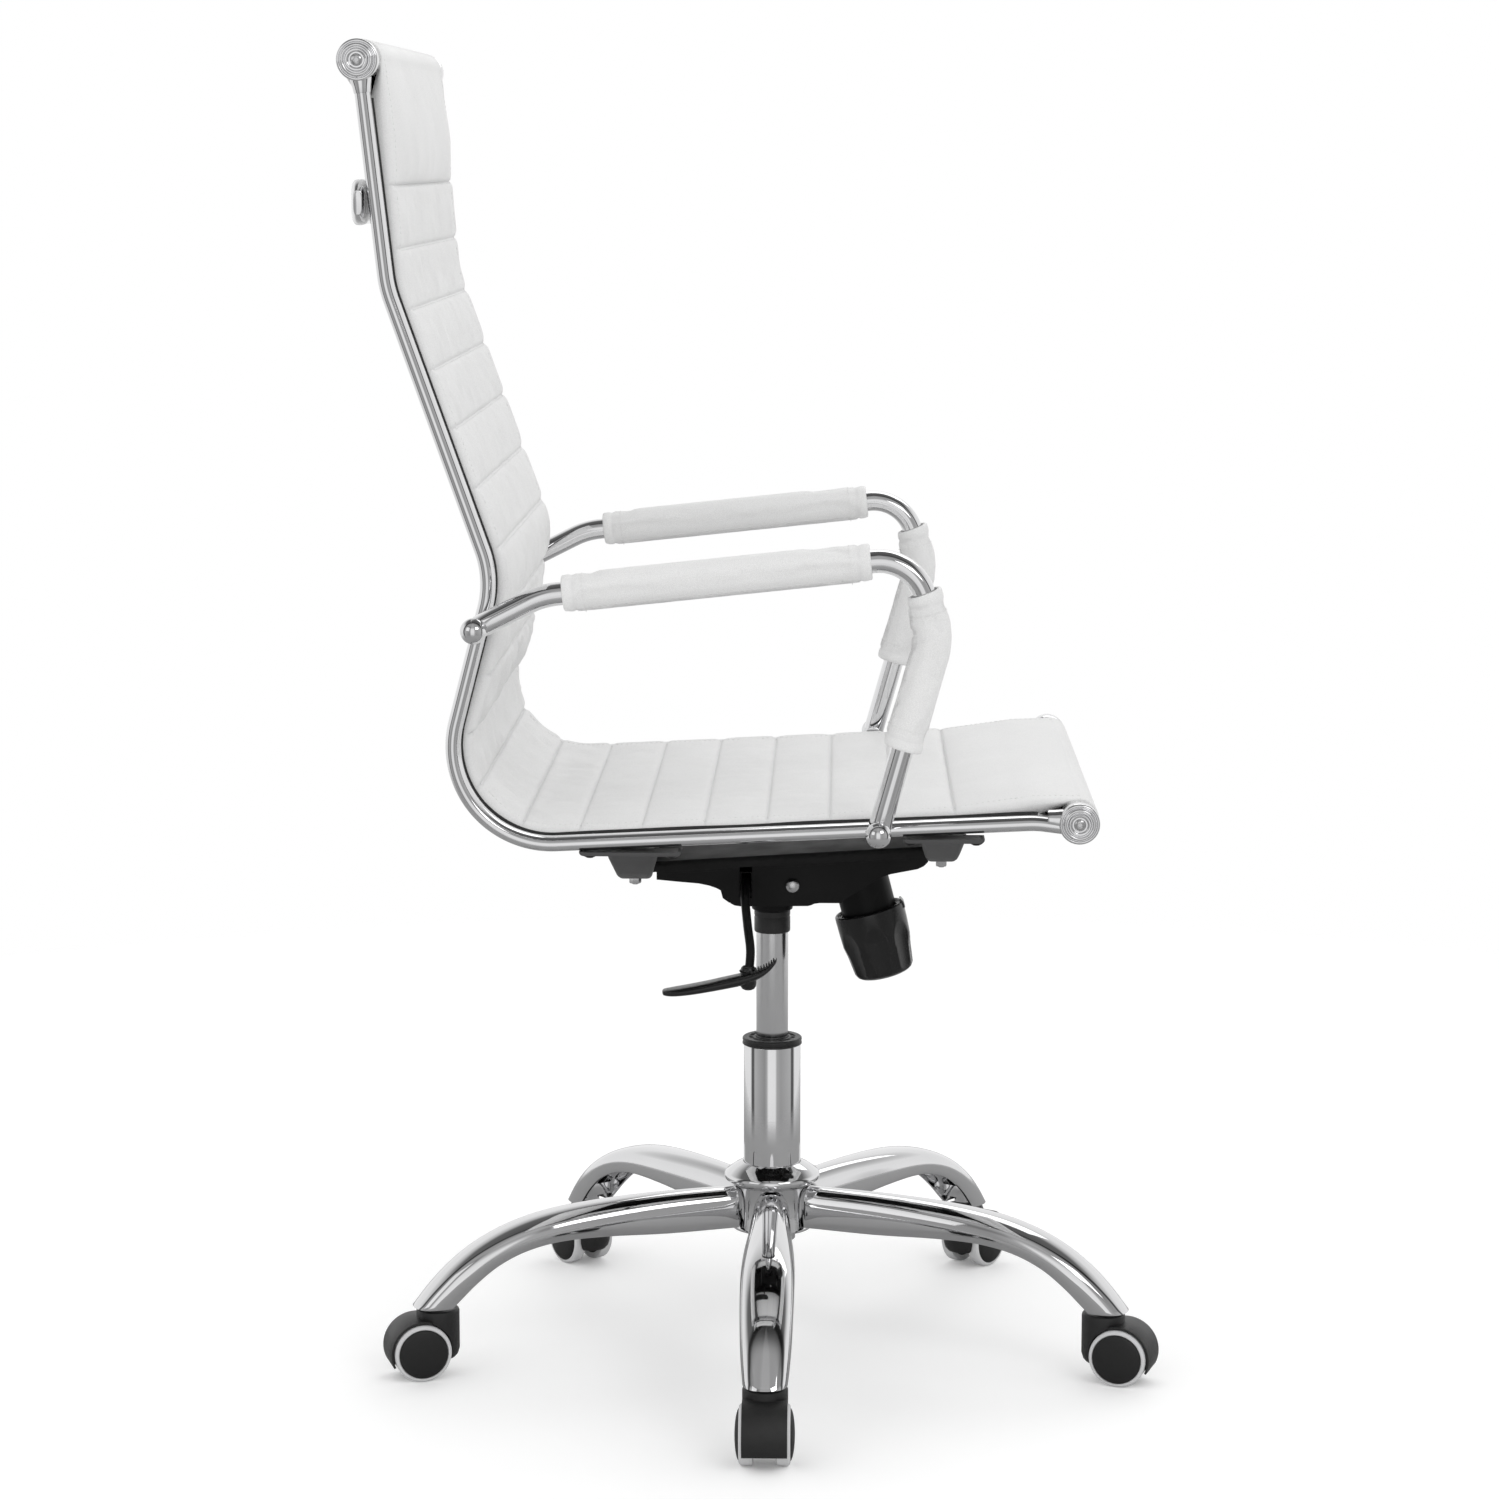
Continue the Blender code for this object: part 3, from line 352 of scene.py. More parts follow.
def threadMaterial():
    material, tree, shader, place = startMaterial("whiteThread")
    twist = addNode(
        tree, "ShaderNodeTexWave", {"Scale": 900, "Distortion": 2, "Vector": place},
    ).outputs["Fac"]
    touch = placeGroup(tree, handling, place, Scale=60.0, Low=0.55, High=0.7)
    tone = mixed(tree, twist, (0.72, 0.72, 0.72, 1), (0.83, 0.83, 0.825, 1))
    feed(tree, shader, {"Base Color": tone, "Roughness": touch["Roughness"]})
    bumpNode(tree, shader, twist, 0.4, 0.0002)
    return material


finish = {
    "chrome": metalMaterial("polishedChrome", 0.80, 0.92, (0.025, 0.085), hairlines=0.04),
    "satinSteel": metalMaterial("satinSteel", 0.78, 0.85, (0.09, 0.16), streak=(1500, 1500, 6)),
    "zinc": metalMaterial("zincSteel", 0.62, 0.80, (0.16, 0.30), scale=60.0),
    "blackSteel": metalMaterial(
        "blackPowderCoat", 0.006, 0.03, (0.30, 0.44), scale=24.0, amount=0.4, metallic=0.0,
        streak=(900, 900, 900), specular=0.14,
    ),
    "greySteel": metalMaterial(
        "greyPaintedSteel", 0.060, 0.13, (0.34, 0.50), scale=20.0, amount=0.5, metallic=0.0,
        streak=(700, 700, 700),
    ),
    "blackPlastic": mouldedMaterial("blackMouldedPlastic", 0.013, 0.035, (0.30, 0.42), 1300.0, 0.30),
    "glossPlastic": mouldedMaterial(
        "blackGlossPlastic", 0.008, 0.030, (0.13, 0.22), 1500.0, 0.10, amount=0.9, specular=0.42
    ),
    "softBlack": mouldedMaterial("blackCasterCap", 0.010, 0.030, (0.42, 0.55), 1900.0, 0.25),
    "tread": mouldedMaterial("paleTread", 0.62, 0.45, (0.42, 0.60), 600.0, 0.25, amount=0.5),
    "leather": leatherMaterial(),
    "thread": threadMaterial(),
}
print("finishes made:", len(finish))

# mesh helpers


def circlePoints(radius, height, steps):
    turns = [math.tau * k / steps for k in range(steps)]
    return [(radius * math.cos(t), radius * math.sin(t), height) for t in turns]


def turned(profile, steps=64, move=None):
    # solid of revolution about Z from a closed outline of (radius, height)
    mesh = bmesh.new()
    loops = []
    for radius, height in profile:
        ring = [(0, 0, height)] if radius < 1e-7 else circlePoints(radius, height, steps)
        loops.append([mesh.verts.new(point) for point in ring])
    for first, second in zip(loops, loops[1:] + loops[:1]):
        if len(first) == 1 and len(second) == 1:
            continue
        for k in range(steps):
            after = (k + 1) % steps
            corners = [first[k % len(first)], first[after % len(first)]]
            corners += [second[after % len(second)], second[k % len(second)]]
            mesh.faces.new(list(dict.fromkeys(corners)))
    if move:
        mesh.transform(move)
    return mesh


def alongX(x=0.0, y=0.0, z=0.0):
    return Matrix.Translation((x, y, z)) @ Matrix.Rotation(math.pi / 2, 4, "Y")


def skinned(rings, closed=False, capped=True):
    mesh = bmesh.new()
    loops = [[mesh.verts.new(point) for point in ring] for ring in rings]
    for first, second in zip(loops, loops[1:] + loops[:1] if closed else loops[1:]):
        for k in range(len(first)):
            after = (k + 1) % len(first)
            mesh.faces.new((first[k], first[after], second[after], second[k]))
    if capped and not closed:
        mesh.faces.new(loops[0])
        mesh.faces.new(loops[-1])
    return mesh


def extruded(outline, low, high, axis="X"):
    # prism of an outline: (Y, Z) points run along X, (X, Z) points along Y
    mesh = bmesh.new()
    place = (lambda a, b, t: (t, a, b)) if axis == "X" else (lambda a, b, t: (a, t, b))
    ends = [[mesh.verts.new(place(a, b, t)) for a, b in outline] for t in (low, high)]
    for face in ends:
        mesh.faces.new(face)
    for k in range(len(outline)):
        after = (k + 1) % len(outline)
        mesh.faces.new((ends[0][k], ends[0][after], ends[1][after], ends[1][k]))
    return mesh


def merged(*meshes):
    whole = meshes[0]
    for part in meshes[1:]:
        data = bpy.data.meshes.new("part")
        part.to_mesh(data)
        part.free()
        whole.from_mesh(data)
        bpy.data.meshes.remove(data)
    return whole


def linkMesh(mesh, name):
    bmesh.ops.remove_doubles(mesh, verts=mesh.verts, dist=1e-6)
    bmesh.ops.recalc_face_normals(mesh, faces=mesh.faces)
    data = bpy.data.meshes.new(name)
    mesh.to_mesh(data)
    mesh.free()
    return linked(name, data)


def roundEdges(thing, width, angle=32):
    modifier = thing.modifiers.new("bevel", "BEVEL")
    modifier.width, modifier.segments, modifier.limit_method = width, 2, "ANGLE"
    modifier.angle_limit = math.radians(angle)


def smoothed(thing, sharp):
    thing.data.shade_smooth()
    thing.data.set_sharp_from_angle(angle=math.radians(sharp))
    return thing


def forget(*things):
    for thing in things:
        data = thing.data
        bpy.data.objects.remove(thing)
        bpy.data.meshes.remove(data)


def bake(thing):
    # the evaluated mesh takes the place of the mesh and its modifiers
    bpy.context.view_layer.update()
    graph = bpy.context.evaluated_depsgraph_get()
    data = bpy.data.meshes.new_from_object(thing.evaluated_get(graph), depsgraph=graph)
    before = thing.data
    thing.modifiers.clear()
    thing.data = data
    name = before.name
    bpy.data.meshes.remove(before)
    data.name = name
    return thing


def carved(mesh, *cutters, operation="DIFFERENCE"):
    thing = linkMesh(mesh, "blank")
    tools = [linkMesh(cutter, "cutter") for cutter in cutters]
    for tool in tools:
        modifier = thing.modifiers.new("cut", "BOOLEAN")
        modifier.object, modifier.operation = tool, operation
    bake(thing)
    result = bmesh.new()
    result.from_mesh(thing.data)
    forget(*tools, thing)
    bmesh.ops.remove_doubles(result, verts=result.verts, dist=2e-5)
    bmesh.ops.dissolve_degenerate(result, edges=result.edges, dist=2e-5)
    return result


def markEdges(data):
    # how far each point stands out from its neighbours, for wear along the edges
    count = len(data.vertices)
    points, normals, ends = np.empty(count * 3), np.empty(count * 3), np.empty(len(data.edges) * 2, int)
    data.vertices.foreach_get("co", points)
    data.vertices.foreach_get("normal", normals)
    data.edges.foreach_get("vertices", ends)
    points, normals, ends = points.reshape(-1, 3), normals.reshape(-1, 3), ends.reshape(-1, 2)
    along = points[ends[:, 1]] - points[ends[:, 0]]
    along /= np.maximum(np.linalg.norm(along, axis=1), 1e-9)[:, None]
    total, degree = np.zeros(count), np.zeros(count)
    for end, sign in ((0, -1), (1, 1)):
        index = ends[:, end]
        np.add.at(total, index, sign * (normals[index] * along).sum(1))
        np.add.at(degree, index, 1)
    mask = np.clip(total / np.maximum(degree, 1) * 2.2 - 0.12, 0, 1)
    attribute = data.attributes.new("edgeMask", "FLOAT", "POINT")
    attribute.data.foreach_set("value", mask.astype(np.float32))


def addPiece(mesh, name, look, body, standsFor=(), bevel=0.0, sharp=40, weighted=False):
    # a finished piece: bevelled, smoothed, marked for wear, and riding on its body
    mesh.transform(Matrix.Translation((columnX, 0, 0)))
    thing = linkMesh(mesh, name)
    if bevel:
        roundEdges(thing, bevel)
    if weighted:
        smoothed(thing, sharp).modifiers.new("normals", "WEIGHTED_NORMAL").keep_sharp = True
    if bevel or weighted:
        bake(thing)
    if not weighted:
        smoothed(thing, sharp)
    return finishPiece(thing, look, body, standsFor)


def finishPiece(thing, look, body, standsFor=()):
    thing.data.materials.clear()
    thing.data.materials.append(finish[look])
    if "edgeMask" not in thing.data.attributes:
        markEdges(thing.data)
    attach(thing, body)
    if standsFor:
        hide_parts(*standsFor)
    return thing


def smoothRows(rows, perSpan):
    # Catmull-Rom curve through rows of numbers
    rows = np.array(rows, float)
    padded = np.vstack([2 * rows[0] - rows[1], rows, 2 * rows[-1] - rows[-2]])
    out = []
    for index in range(len(rows) - 1):
        a, b, c, d = padded[index : index + 4]
        for k in range(perSpan):
            t = k / perSpan
            square, cube = 2 * a - 5 * b + 4 * c - d, 3 * b - a - 3 * c + d
            out.append(0.5 * (2 * b + (c - a) * t + square * t**2 + cube * t**3))
    return np.array(out + [rows[-1]])


def filletPath(corners, stepAngle=math.radians(2.5)):
    # (Y, Z) points through corners given as (Y, Z, radius)
    points = [Vector(corners[0][:2])]
    for before, corner, after in zip(corners, corners[1:], corners[2:]):
        here = Vector(corner[:2])
        back, ahead = (Vector(before[:2]) - here).normalized(), (Vector(after[:2]) - here).normalized()
        half = back.angle(ahead) / 2
        centre = here + (back + ahead).normalized() * corner[2] / math.sin(half)
        first = here + back * corner[2] / math.tan(half) - centre
        last = here + ahead * corner[2] / math.tan(half) - centre
        turn = math.atan2(first.x * last.y - first.y * last.x, first.dot(last))
        steps = max(2, math.ceil(abs(turn) / stepAngle))
        points += [centre + Matrix.Rotation(turn * step / steps, 2) @ first for step in range(steps + 1)]
    points.append(Vector(corners[-1][:2]))
    return np.array([tuple(point) for point in points])


class Track:
    # a (Y, Z) path read by distance from its first point
    def __init__(self, points):
        self.points = points
        steps = np.linalg.norm(np.diff(points, axis=0), axis=1)
        self.lengths = np.concatenate([[0], np.cumsum(steps)])
        self.total = self.lengths[-1]

    def read(self, s):
        return np.stack([np.interp(s, self.lengths, self.points[:, k]) for k in (0, 1)], -1)

    def at(self, s):
        s = np.asarray(s, float)
        inside = np.clip(s, 0, self.total)
        return self.read(inside) + (s - inside)[..., None] * self.along(inside)

    def along(self, s, reach=0.0015):
        s = np.asarray(s, float)
        low, high = np.clip(s - reach, 0, self.total), np.clip(s + reach, 0, self.total)
        way = self.read(high) - self.read(low)
        return way / np.linalg.norm(way, axis=-1)[..., None]

    def left(self, s):
        way = self.along(s)
        return np.stack([-way[..., 1], way[..., 0]], -1)

    def spread(self, start, end, coarse=0.03):
        # distances for rings: each corner point of the path, and a ring now and then on the straights
        inner = [s for s in self.lengths if start + 0.001 < s < end - 0.001]
        marks, out = [start] + inner + [end], []
        for low, high in zip(marks, marks[1:]):
            steps = max(1, math.ceil((high - low) / coarse))
            out += [low + (high - low) * k / steps for k in range(steps)]
        return np.array(out + [end])


def oval(count, depth, width, power=2.3):
    angles = (np.arange(count) + 0.5) * math.tau / count
    c, s = np.cos(angles), np.sin(angles)
    u = np.sign(c) * np.abs(c) ** (2 / power) * depth / 2
    v = np.sign(s) * np.abs(s) ** (2 / power) * width / 2
    return np.stack([u, v], -1)


def sweptRings(track, marks, x, section):
    centre, side = track.at(marks), track.left(marks)
    rings = np.empty((len(marks), len(section), 3))
    rings[..., 0] = x + section[:, 1][None, :]
    rings[..., 1] = centre[:, None, 0] + side[:, None, 0] * section[:, 0][None, :]
    rings[..., 2] = centre[:, None, 1] + side[:, None, 1] * section[:, 0][None, :]
    return rings

# node trees that repeat a small part


def realised(tree, given, out, instances):
    solid = addNode(tree, "GeometryNodeRealizeInstances", {0: instances}).outputs[0]
    painted = addNode(tree, "GeometryNodeSetMaterial", {"Geometry": solid, "Material": given["Finish"]})
    feed(tree, out, {"Geometry": painted.outputs[0]})
    return tree


def growTree(name, ins):
    return newGroup(name, "Geometry", [("Geometry", "Geometry"), *ins], [("Geometry", "Geometry")])


def facingField(tree):
    feeds = {"Name": "facing"}
    node = addNode(tree, "GeometryNodeInputNamedAttribute", feeds, data_type="FLOAT_VECTOR")
    return node.outputs["Attribute"]


def fastenerTree():
    # one fastener on each point, standing along the point's facing, turned by chance about it
    ins = [("Fastener", "Object"), ("Finish", "Material"), ("Size", "Float", 1.0), ("Seed", "Int", 3)]
    tree, given, out = growTree("fasteners", ins)
    shape = addNode(tree, "GeometryNodeObjectInfo", {"Object": given["Fastener"]}).outputs["Geometry"]
    stand = addNode(
        tree, "FunctionNodeAlignRotationToVector", {"Vector": facingField(tree)}, axis="Z",
    ).outputs[0]
    feeds = {3: math.tau, "Seed": given["Seed"]}  # input 3 is the greatest value
    chance = addNode(tree, "FunctionNodeRandomValue", feeds, data_type="FLOAT").outputs[1]
    spin = addNode(tree, "FunctionNodeAxisAngleToRotation", {"Angle": chance}).outputs[0]
    spun = addNode(tree, "FunctionNodeRotateRotation", {0: stand, 1: spin}, rotation_space="LOCAL").outputs[0]
    feeds = {"Points": given["Geometry"], "Instance": shape, "Rotation": spun, "Scale": given["Size"]}
    return realised(tree, given, out, addNode(tree, "GeometryNodeInstanceOnPoints", feeds).outputs[0])


def stitchTree():
    # stitches at an even pitch along lines, lying along them and facing as the lines say
    ins = [("Stitch", "Object"), ("Finish", "Material"), ("Pitch", "Float", 0.004)]
    tree, given, out = growTree("stitches", ins)
    line = addNode(tree, "GeometryNodeMeshToCurve", {"Mesh": given["Geometry"]}).outputs[0]
    feeds = {"Curve": line, "Length": given["Pitch"]}
    even = addNode(tree, "GeometryNodeResampleCurve", feeds, mode="LENGTH").outputs[0]
    shape = addNode(tree, "GeometryNodeObjectInfo", {"Object": given["Stitch"]}).outputs["Geometry"]
    way = addNode(tree, "GeometryNodeInputTangent").outputs[0]
    lie = addNode(tree, "FunctionNodeAlignRotationToVector", {"Vector": way}, axis="X").outputs[0]
    feeds = {"Rotation": lie, "Vector": facingField(tree)}
    stand = addNode(tree, "FunctionNodeAlignRotationToVector", feeds, axis="Z", pivot_axis="X").outputs[0]
    feeds = {"Points": even, "Instance": shape, "Rotation": stand}
    return realised(tree, given, out, addNode(tree, "GeometryNodeInstanceOnPoints", feeds).outputs[0])


def spokesTree():
    # the mesh repeated evenly round the column
    ins = [
        ("Finish", "Material"), ("Count", "Int", 5), ("Column X", "Float", 0.0), ("First Turn", "Float", 0.0),
    ]
    tree, given, out = growTree("spokes", ins)
    points = addNode(tree, "GeometryNodePoints", {"Count": given["Count"]}).outputs[0]
    number = addNode(tree, "GeometryNodeInputIndex").outputs[0]
    share = calculated(tree, "DIVIDE", number, given["Count"])
    turn = calculated(tree, "MULTIPLY_ADD", share, math.tau, given["First Turn"])
    about = addNode(tree, "ShaderNodeCombineXYZ", {"Z": turn}).outputs[0]
    rotation = addNode(tree, "FunctionNodeEulerToRotation", {0: about}).outputs[0]
    feeds = {"Points": points, "Instance": given["Geometry"], "Rotation": rotation}
    placed = addNode(tree, "GeometryNodeInstanceOnPoints", feeds).outputs[0]
    shift = addNode(tree, "ShaderNodeCombineXYZ", {"X": given["Column X"]}).outputs[0]
    moved = addNode(tree, "GeometryNodeTransform", {"Geometry": placed, "Translation": shift}).outputs[0]
    return realised(tree, given, out, moved)

trees = {"fasteners": fastenerTree(), "stitches": stitchTree(), "spokes": spokesTree()}


def growWith(thing, treeName, **values):
    # puts a tree on an object, sets its inputs by identifier, and keeps the resulting mesh
    tree = trees[treeName]
    sockets = {item.name: item.identifier for item in tree.interface.items_tree if item.in_out == "INPUT"}
    modifier = thing.modifiers.new(treeName, "NODES")
    modifier.node_group = tree
    for key, value in values.items():
        modifier[sockets[key]] = value
    return bake(thing)


def pointRows(name, rows, facings, joined=True):
    # points with a facing each; joined rows become lines
    data = bpy.data.meshes.new(name)
    points = [tuple(point) for row in rows for point in row]
    edges, start = [], 0
    for row in rows:
        if joined:
            edges += [(start + k, start + k + 1) for k in range(len(row) - 1)]
        start += len(row)
    data.from_pydata(points, edges, [])
    attribute = data.attributes.new("facing", "FLOAT_VECTOR", "POINT")
    values = np.array([tuple(facing) for row in facings for facing in row], np.float32)
    attribute.data.foreach_set("vector", values.ravel())
    return linked(name, data)


def hiddenShape(mesh, name):
    return smoothed(linkMesh(mesh, name), 35)


def boltShape(radius, height, domed, driveRadius, driveDepth):
    # round head with a hexagon recess
    profile = [(0, -0.0006), (radius, -0.0006)]
    if domed:
        profile += [(radius * math.cos(a), height * math.sin(a)) for a in np.linspace(0.05, 1.15, 6)]
    else:
        profile += [(radius, height * 0.8), (radius * 0.9, height)]
    profile += [(driveRadius * 1.05, profile[-1][1] + height * 0.04), (driveRadius, height * 0.9)]
    profile += [(driveRadius, height - driveDepth), (0, height - driveDepth)]
    mesh = turned(profile, 24)
    for vert in mesh.verts:  # the recess becomes a hexagon
        reach = math.hypot(vert.co.x, vert.co.y)
        if 1e-6 < reach < driveRadius * 1.02:
            turn = math.atan2(vert.co.y, vert.co.x) % (math.pi / 3) - math.pi / 6
            share = math.cos(math.pi / 6) / math.cos(turn)
            vert.co.x *= share
            vert.co.y *= share
    return mesh


def nutShape(across, height, threadRadius):
    # chamfered hexagon nut with the end of its bolt showing
    rings = []
    for z, share in ((-0.0006, 1.0), (height * 0.82, 1.0), (height, 0.88)):
        rings.append(circlePoints(across / 2 * share, z, 6))
    top = height * 1.2
    tip = [(0, 0), (threadRadius, 0), (threadRadius, height * 1.12), (threadRadius * 0.85, top), (0, top)]
    return merged(skinned(rings), turned(tip, 12))


def addFasteners(name, shape, places, look, body, size=1.0, seed=3):
    thing = pointRows(name, [[p for p, _ in places]], [[f for _, f in places]], joined=False)
    thing.data.transform(Matrix.Translation((columnX, 0, 0)))
    growWith(thing, "fasteners", Fastener=shape, Finish=finish[look], Size=size, Seed=seed)
    return finishPiece(thing, look, body)


# star base

hubShape = {"collar": 0.042, "top": 0.1680, "neck": 0.0342, "bottom": 0.1087}
legShape = {
    "wall": 0.0026, "tip": 0.0622, "stemCircle": 0.303, "socket": 0.0088, "perSpan": 5,
}
legStations = [
    (0.0348, 0.1475, 0.0348, 0.1135, 0.0330), (0.1000, 0.1468, 0.1000, 0.1137, 0.0370),
    (0.1600, 0.1435, 0.1550, 0.1162, 0.0428), (0.2050, 0.1375, 0.1960, 0.1155, 0.0450),
    (0.2400, 0.1275, 0.2270, 0.1095, 0.0450), (0.2690, 0.1135, 0.2520, 0.0985, 0.0440),
    (0.2920, 0.0970, 0.2715, 0.0840, 0.0425), (0.3095, 0.0800, 0.2850, 0.0710, 0.0400),
    (0.3245, 0.0622, 0.2935, 0.0622, 0.0370),
]
legArch = [
    (0.915, 0.0), (0.985, 0.15), (1.0, 0.40), (0.94, 0.62), (0.79, 0.81), (0.55, 0.93), (0.28, 0.985),
    (0.0, 1.0),
]


def buildHub():
    h = hubShape
    outline = [
        (0.0253, h["top"]), (0.0262, h["top"] + 0.0002), (0.0275, h["top"] - 0.0006), (0.0330, 0.1645),
        (0.0405, 0.1592),
        (h["collar"], 0.1572), (h["collar"] + 0.0002, 0.1550), (h["collar"] - 0.0004, 0.1531),
        (0.0372, 0.1503),
        (0.0350, 0.1492), (h["neck"], 0.1478), (h["neck"], 0.1130), (0.0352, 0.1112), (0.0352, h["bottom"]),
        (0.0245, h["bottom"]),
    ]
    addPiece(turned(outline, 96), "starHub", "chrome", "base", ["base_hub"], bevel=0.0004)


def buildLegs():
    s = legShape
    arch = smoothRows(legArch, 3)
    rows = smoothRows(legStations, s["perSpan"])
    rings = []
    for topR, topZ, lowR, lowZ, width in rows:
        low, top = np.array((lowR, lowZ)), np.array((topR, topZ))
        height = np.linalg.norm(top - low)
        up, half = (top - low) / height, width / 2
        sides = []
        for inset in (0.0, s["wall"]):
            near = [((half - inset) * u, (height - inset) * v) for u, v in arch]
            far = [(-u, v) for u, v in near[-2::-1]]
            sides.append(near + far)
        outline = sides[0] + sides[1][::-1]
        rings.append([(low[0] + up[0] * v, u, low[1] + up[1] * v) for u, v in outline])
    leg = skinned(rings)
    pin = Matrix.Translation((s["stemCircle"], 0, 0))
    tube = [(0.0058, s["tip"]), (s["socket"], s["tip"]), (s["socket"], 0.0700), (s["socket"], 0.0960)]
    tube += [(0.0078, 0.0965), (0.0058, 0.0965)]
    tube = turned(tube, 40, pin)
    plug = [(0, 0.0765), (0.0062, 0.0765), (0.0062, 0.0905), (0.0052, 0.0925), (0.0030, 0.0940), (0, 0.0945)]
    plug = turned(plug, 28, pin)
    # an inner web ties the socket tube to the leg's walls
    x = s["stemCircle"] - 0.0084
    web = [(x - 0.0012, 0.0690), (x + 0.0012, 0.0690), (x + 0.0012, 0.0800), (x - 0.0012, 0.0800)]
    web = extruded(web, -0.0172, 0.0172, "Y")
    crown = np.array(legStations)[:, :2]
    for part, room in ((tube, 0.0034), (plug, 0.0042)):
        for vert in part.verts:
            reach = math.hypot(vert.co.x, vert.co.y)
            vert.co.z = min(vert.co.z, np.interp(reach, crown[:, 0], crown[:, 1]) - room)
    thing = linkMesh(merged(leg, tube, plug, web), "starLegs")
    roundEdges(thing, 0.0006, 40)
    markEdges(smoothed(bake(thing), 40).data)
    inputs = {"Finish": finish["chrome"], "Count": 5, "Column X": columnX, "First Turn": math.pi}
    growWith(thing, "spokes", **inputs)
    finishPiece(thing, "chrome", "base", [f"base_leg_{k}" for k in range(1, 6)])


# casters

casterShape = {
    "wheel": 0.025, "inner": 0.0094, "outer": 0.0202, "dome": 0.0245, "trail": 0.017, "axle": 0.004,
    "hoodTop": 0.060, "barrel": 0.0187, "fenderOut": 0.028, "fenderIn": 0.0262, "fenderHalf": 0.0185,
    "web": 0.0084,
}


def casterFrame(number):
    turn = math.pi + math.tau * (number - 1) / 5
    return Matrix.Rotation(turn, 4, "Z") @ Matrix.Translation((legShape["stemCircle"], 0, 0))


def acrossAxle(side=1):
    c = casterShape
    return Matrix.Translation((c["trail"], 0, c["wheel"])) @ Matrix.Rotation(-math.pi / 2 * side, 4, "X")


def fenderArc(inner, outer, start, end, steps):
    c, points = casterShape, []
    for radius, order in ((outer, range(steps + 1)), (inner, range(steps, -1, -1))):
        for step in order:
            angle = math.radians(start + (end - start) * step / steps)
            points.append((c["trail"] + radius * math.cos(angle), c["wheel"] + radius * math.sin(angle)))
    return points


def buildHood(number):
    c = casterShape
    top = c["hoodTop"]
    barrel = [
        (0, 0.0165), (0.0148, 0.0165), (0.0172, 0.0192), (c["barrel"], 0.0242), (c["barrel"], top - 0.0026),
        (c["barrel"] - 0.0006, top - 0.0010), (c["barrel"] - 0.0022, top), (0.0100, top),
        (0.0096, top - 0.0012),
        (0.0068, top - 0.0012), (0.0068, top), (0.0058, top), (0.0058, 0.038), (0, 0.038),
    ]
    well = [(0, 0.0088), (c["fenderIn"], 0.0088), (c["fenderIn"], 0.030), (0, 0.030)]
    body = carved(turned(barrel, 64), *(turned(well, 72, acrossAxle(side)) for side in (1, -1)))
    fender = extruded(
        fenderArc(c["fenderIn"], c["fenderOut"], -24, 106, 26), -c["fenderHalf"], c["fenderHalf"], "Y",
    )
    web = fenderArc(0.0, c["fenderIn"] + 0.0006, -24, 190, 30)[:31] + [(c["trail"], c["wheel"] - 0.006)]
    body = merged(body, fender, extruded(web, -c["web"], c["web"], "Y"))
    half = [(0, 0.0205), (c["axle"] - 0.0005, 0.0205), (c["axle"], 0.0200)]
    axle = [(radius, -reach) for radius, reach in half] + half[::-1]
    body = merged(body, turned(axle, 24, acrossAxle()))
    body.transform(casterFrame(number))
    addPiece(
        body, f"casterHood_{number}", "blackPlastic", f"caster_{number}",
        [f"caster_hood_{number}"], bevel=0.0006, sharp=45,
    )


def buildWheel(number, letter):
    c = casterShape
    side = 1 if letter == "a" else -1
    low, high, rim = c["inner"], c["outer"], c["wheel"]
    tread = [
        (0.0195, low + 0.0006), (0.0203, low), (rim - 0.0012, low), (rim - 0.0003, low + 0.0005),
        (rim, low + 0.0014), (rim, high - 0.0018), (rim - 0.0004, high - 0.0006),
        (rim - 0.0014, high + 0.0004), (0.0226, high + 0.0008), (0.0219, high + 0.0006),
        (0.0216, high - 0.0002), (0.0195, high - 0.0004),
    ]
    move = casterFrame(number) @ acrossAxle(side)
    tag = f"{number}{letter}"
    body, names = f"wheel_{tag}", [f"caster_wheel_{tag}"]
    addPiece(turned(tread, 96, move), f"casterTread_{tag}", "tread", body, names, sharp=50)
    cap = [(c["axle"] + gap, low + 0.0008), (0.0195, low + 0.0008), (0.0195, high - 0.0005)]
    cap += [(0.0213, high - 0.0003), (0.0214, high + 0.0004)]
    foot = high + 0.0002
    for turn in np.linspace(0.12, math.pi / 2, 12):
        cap.append((0.0214 * math.cos(turn), foot + (c["dome"] - high - 0.0002) * math.sin(turn)))
    cap[-1] = (0, c["dome"])
    cap += [(0, 0.0220), (c["axle"] + gap, 0.0220)]
    addPiece(turned(cap, 72, move), f"casterCap_{tag}", "softBlack", body, sharp=50)


# column and gas spring


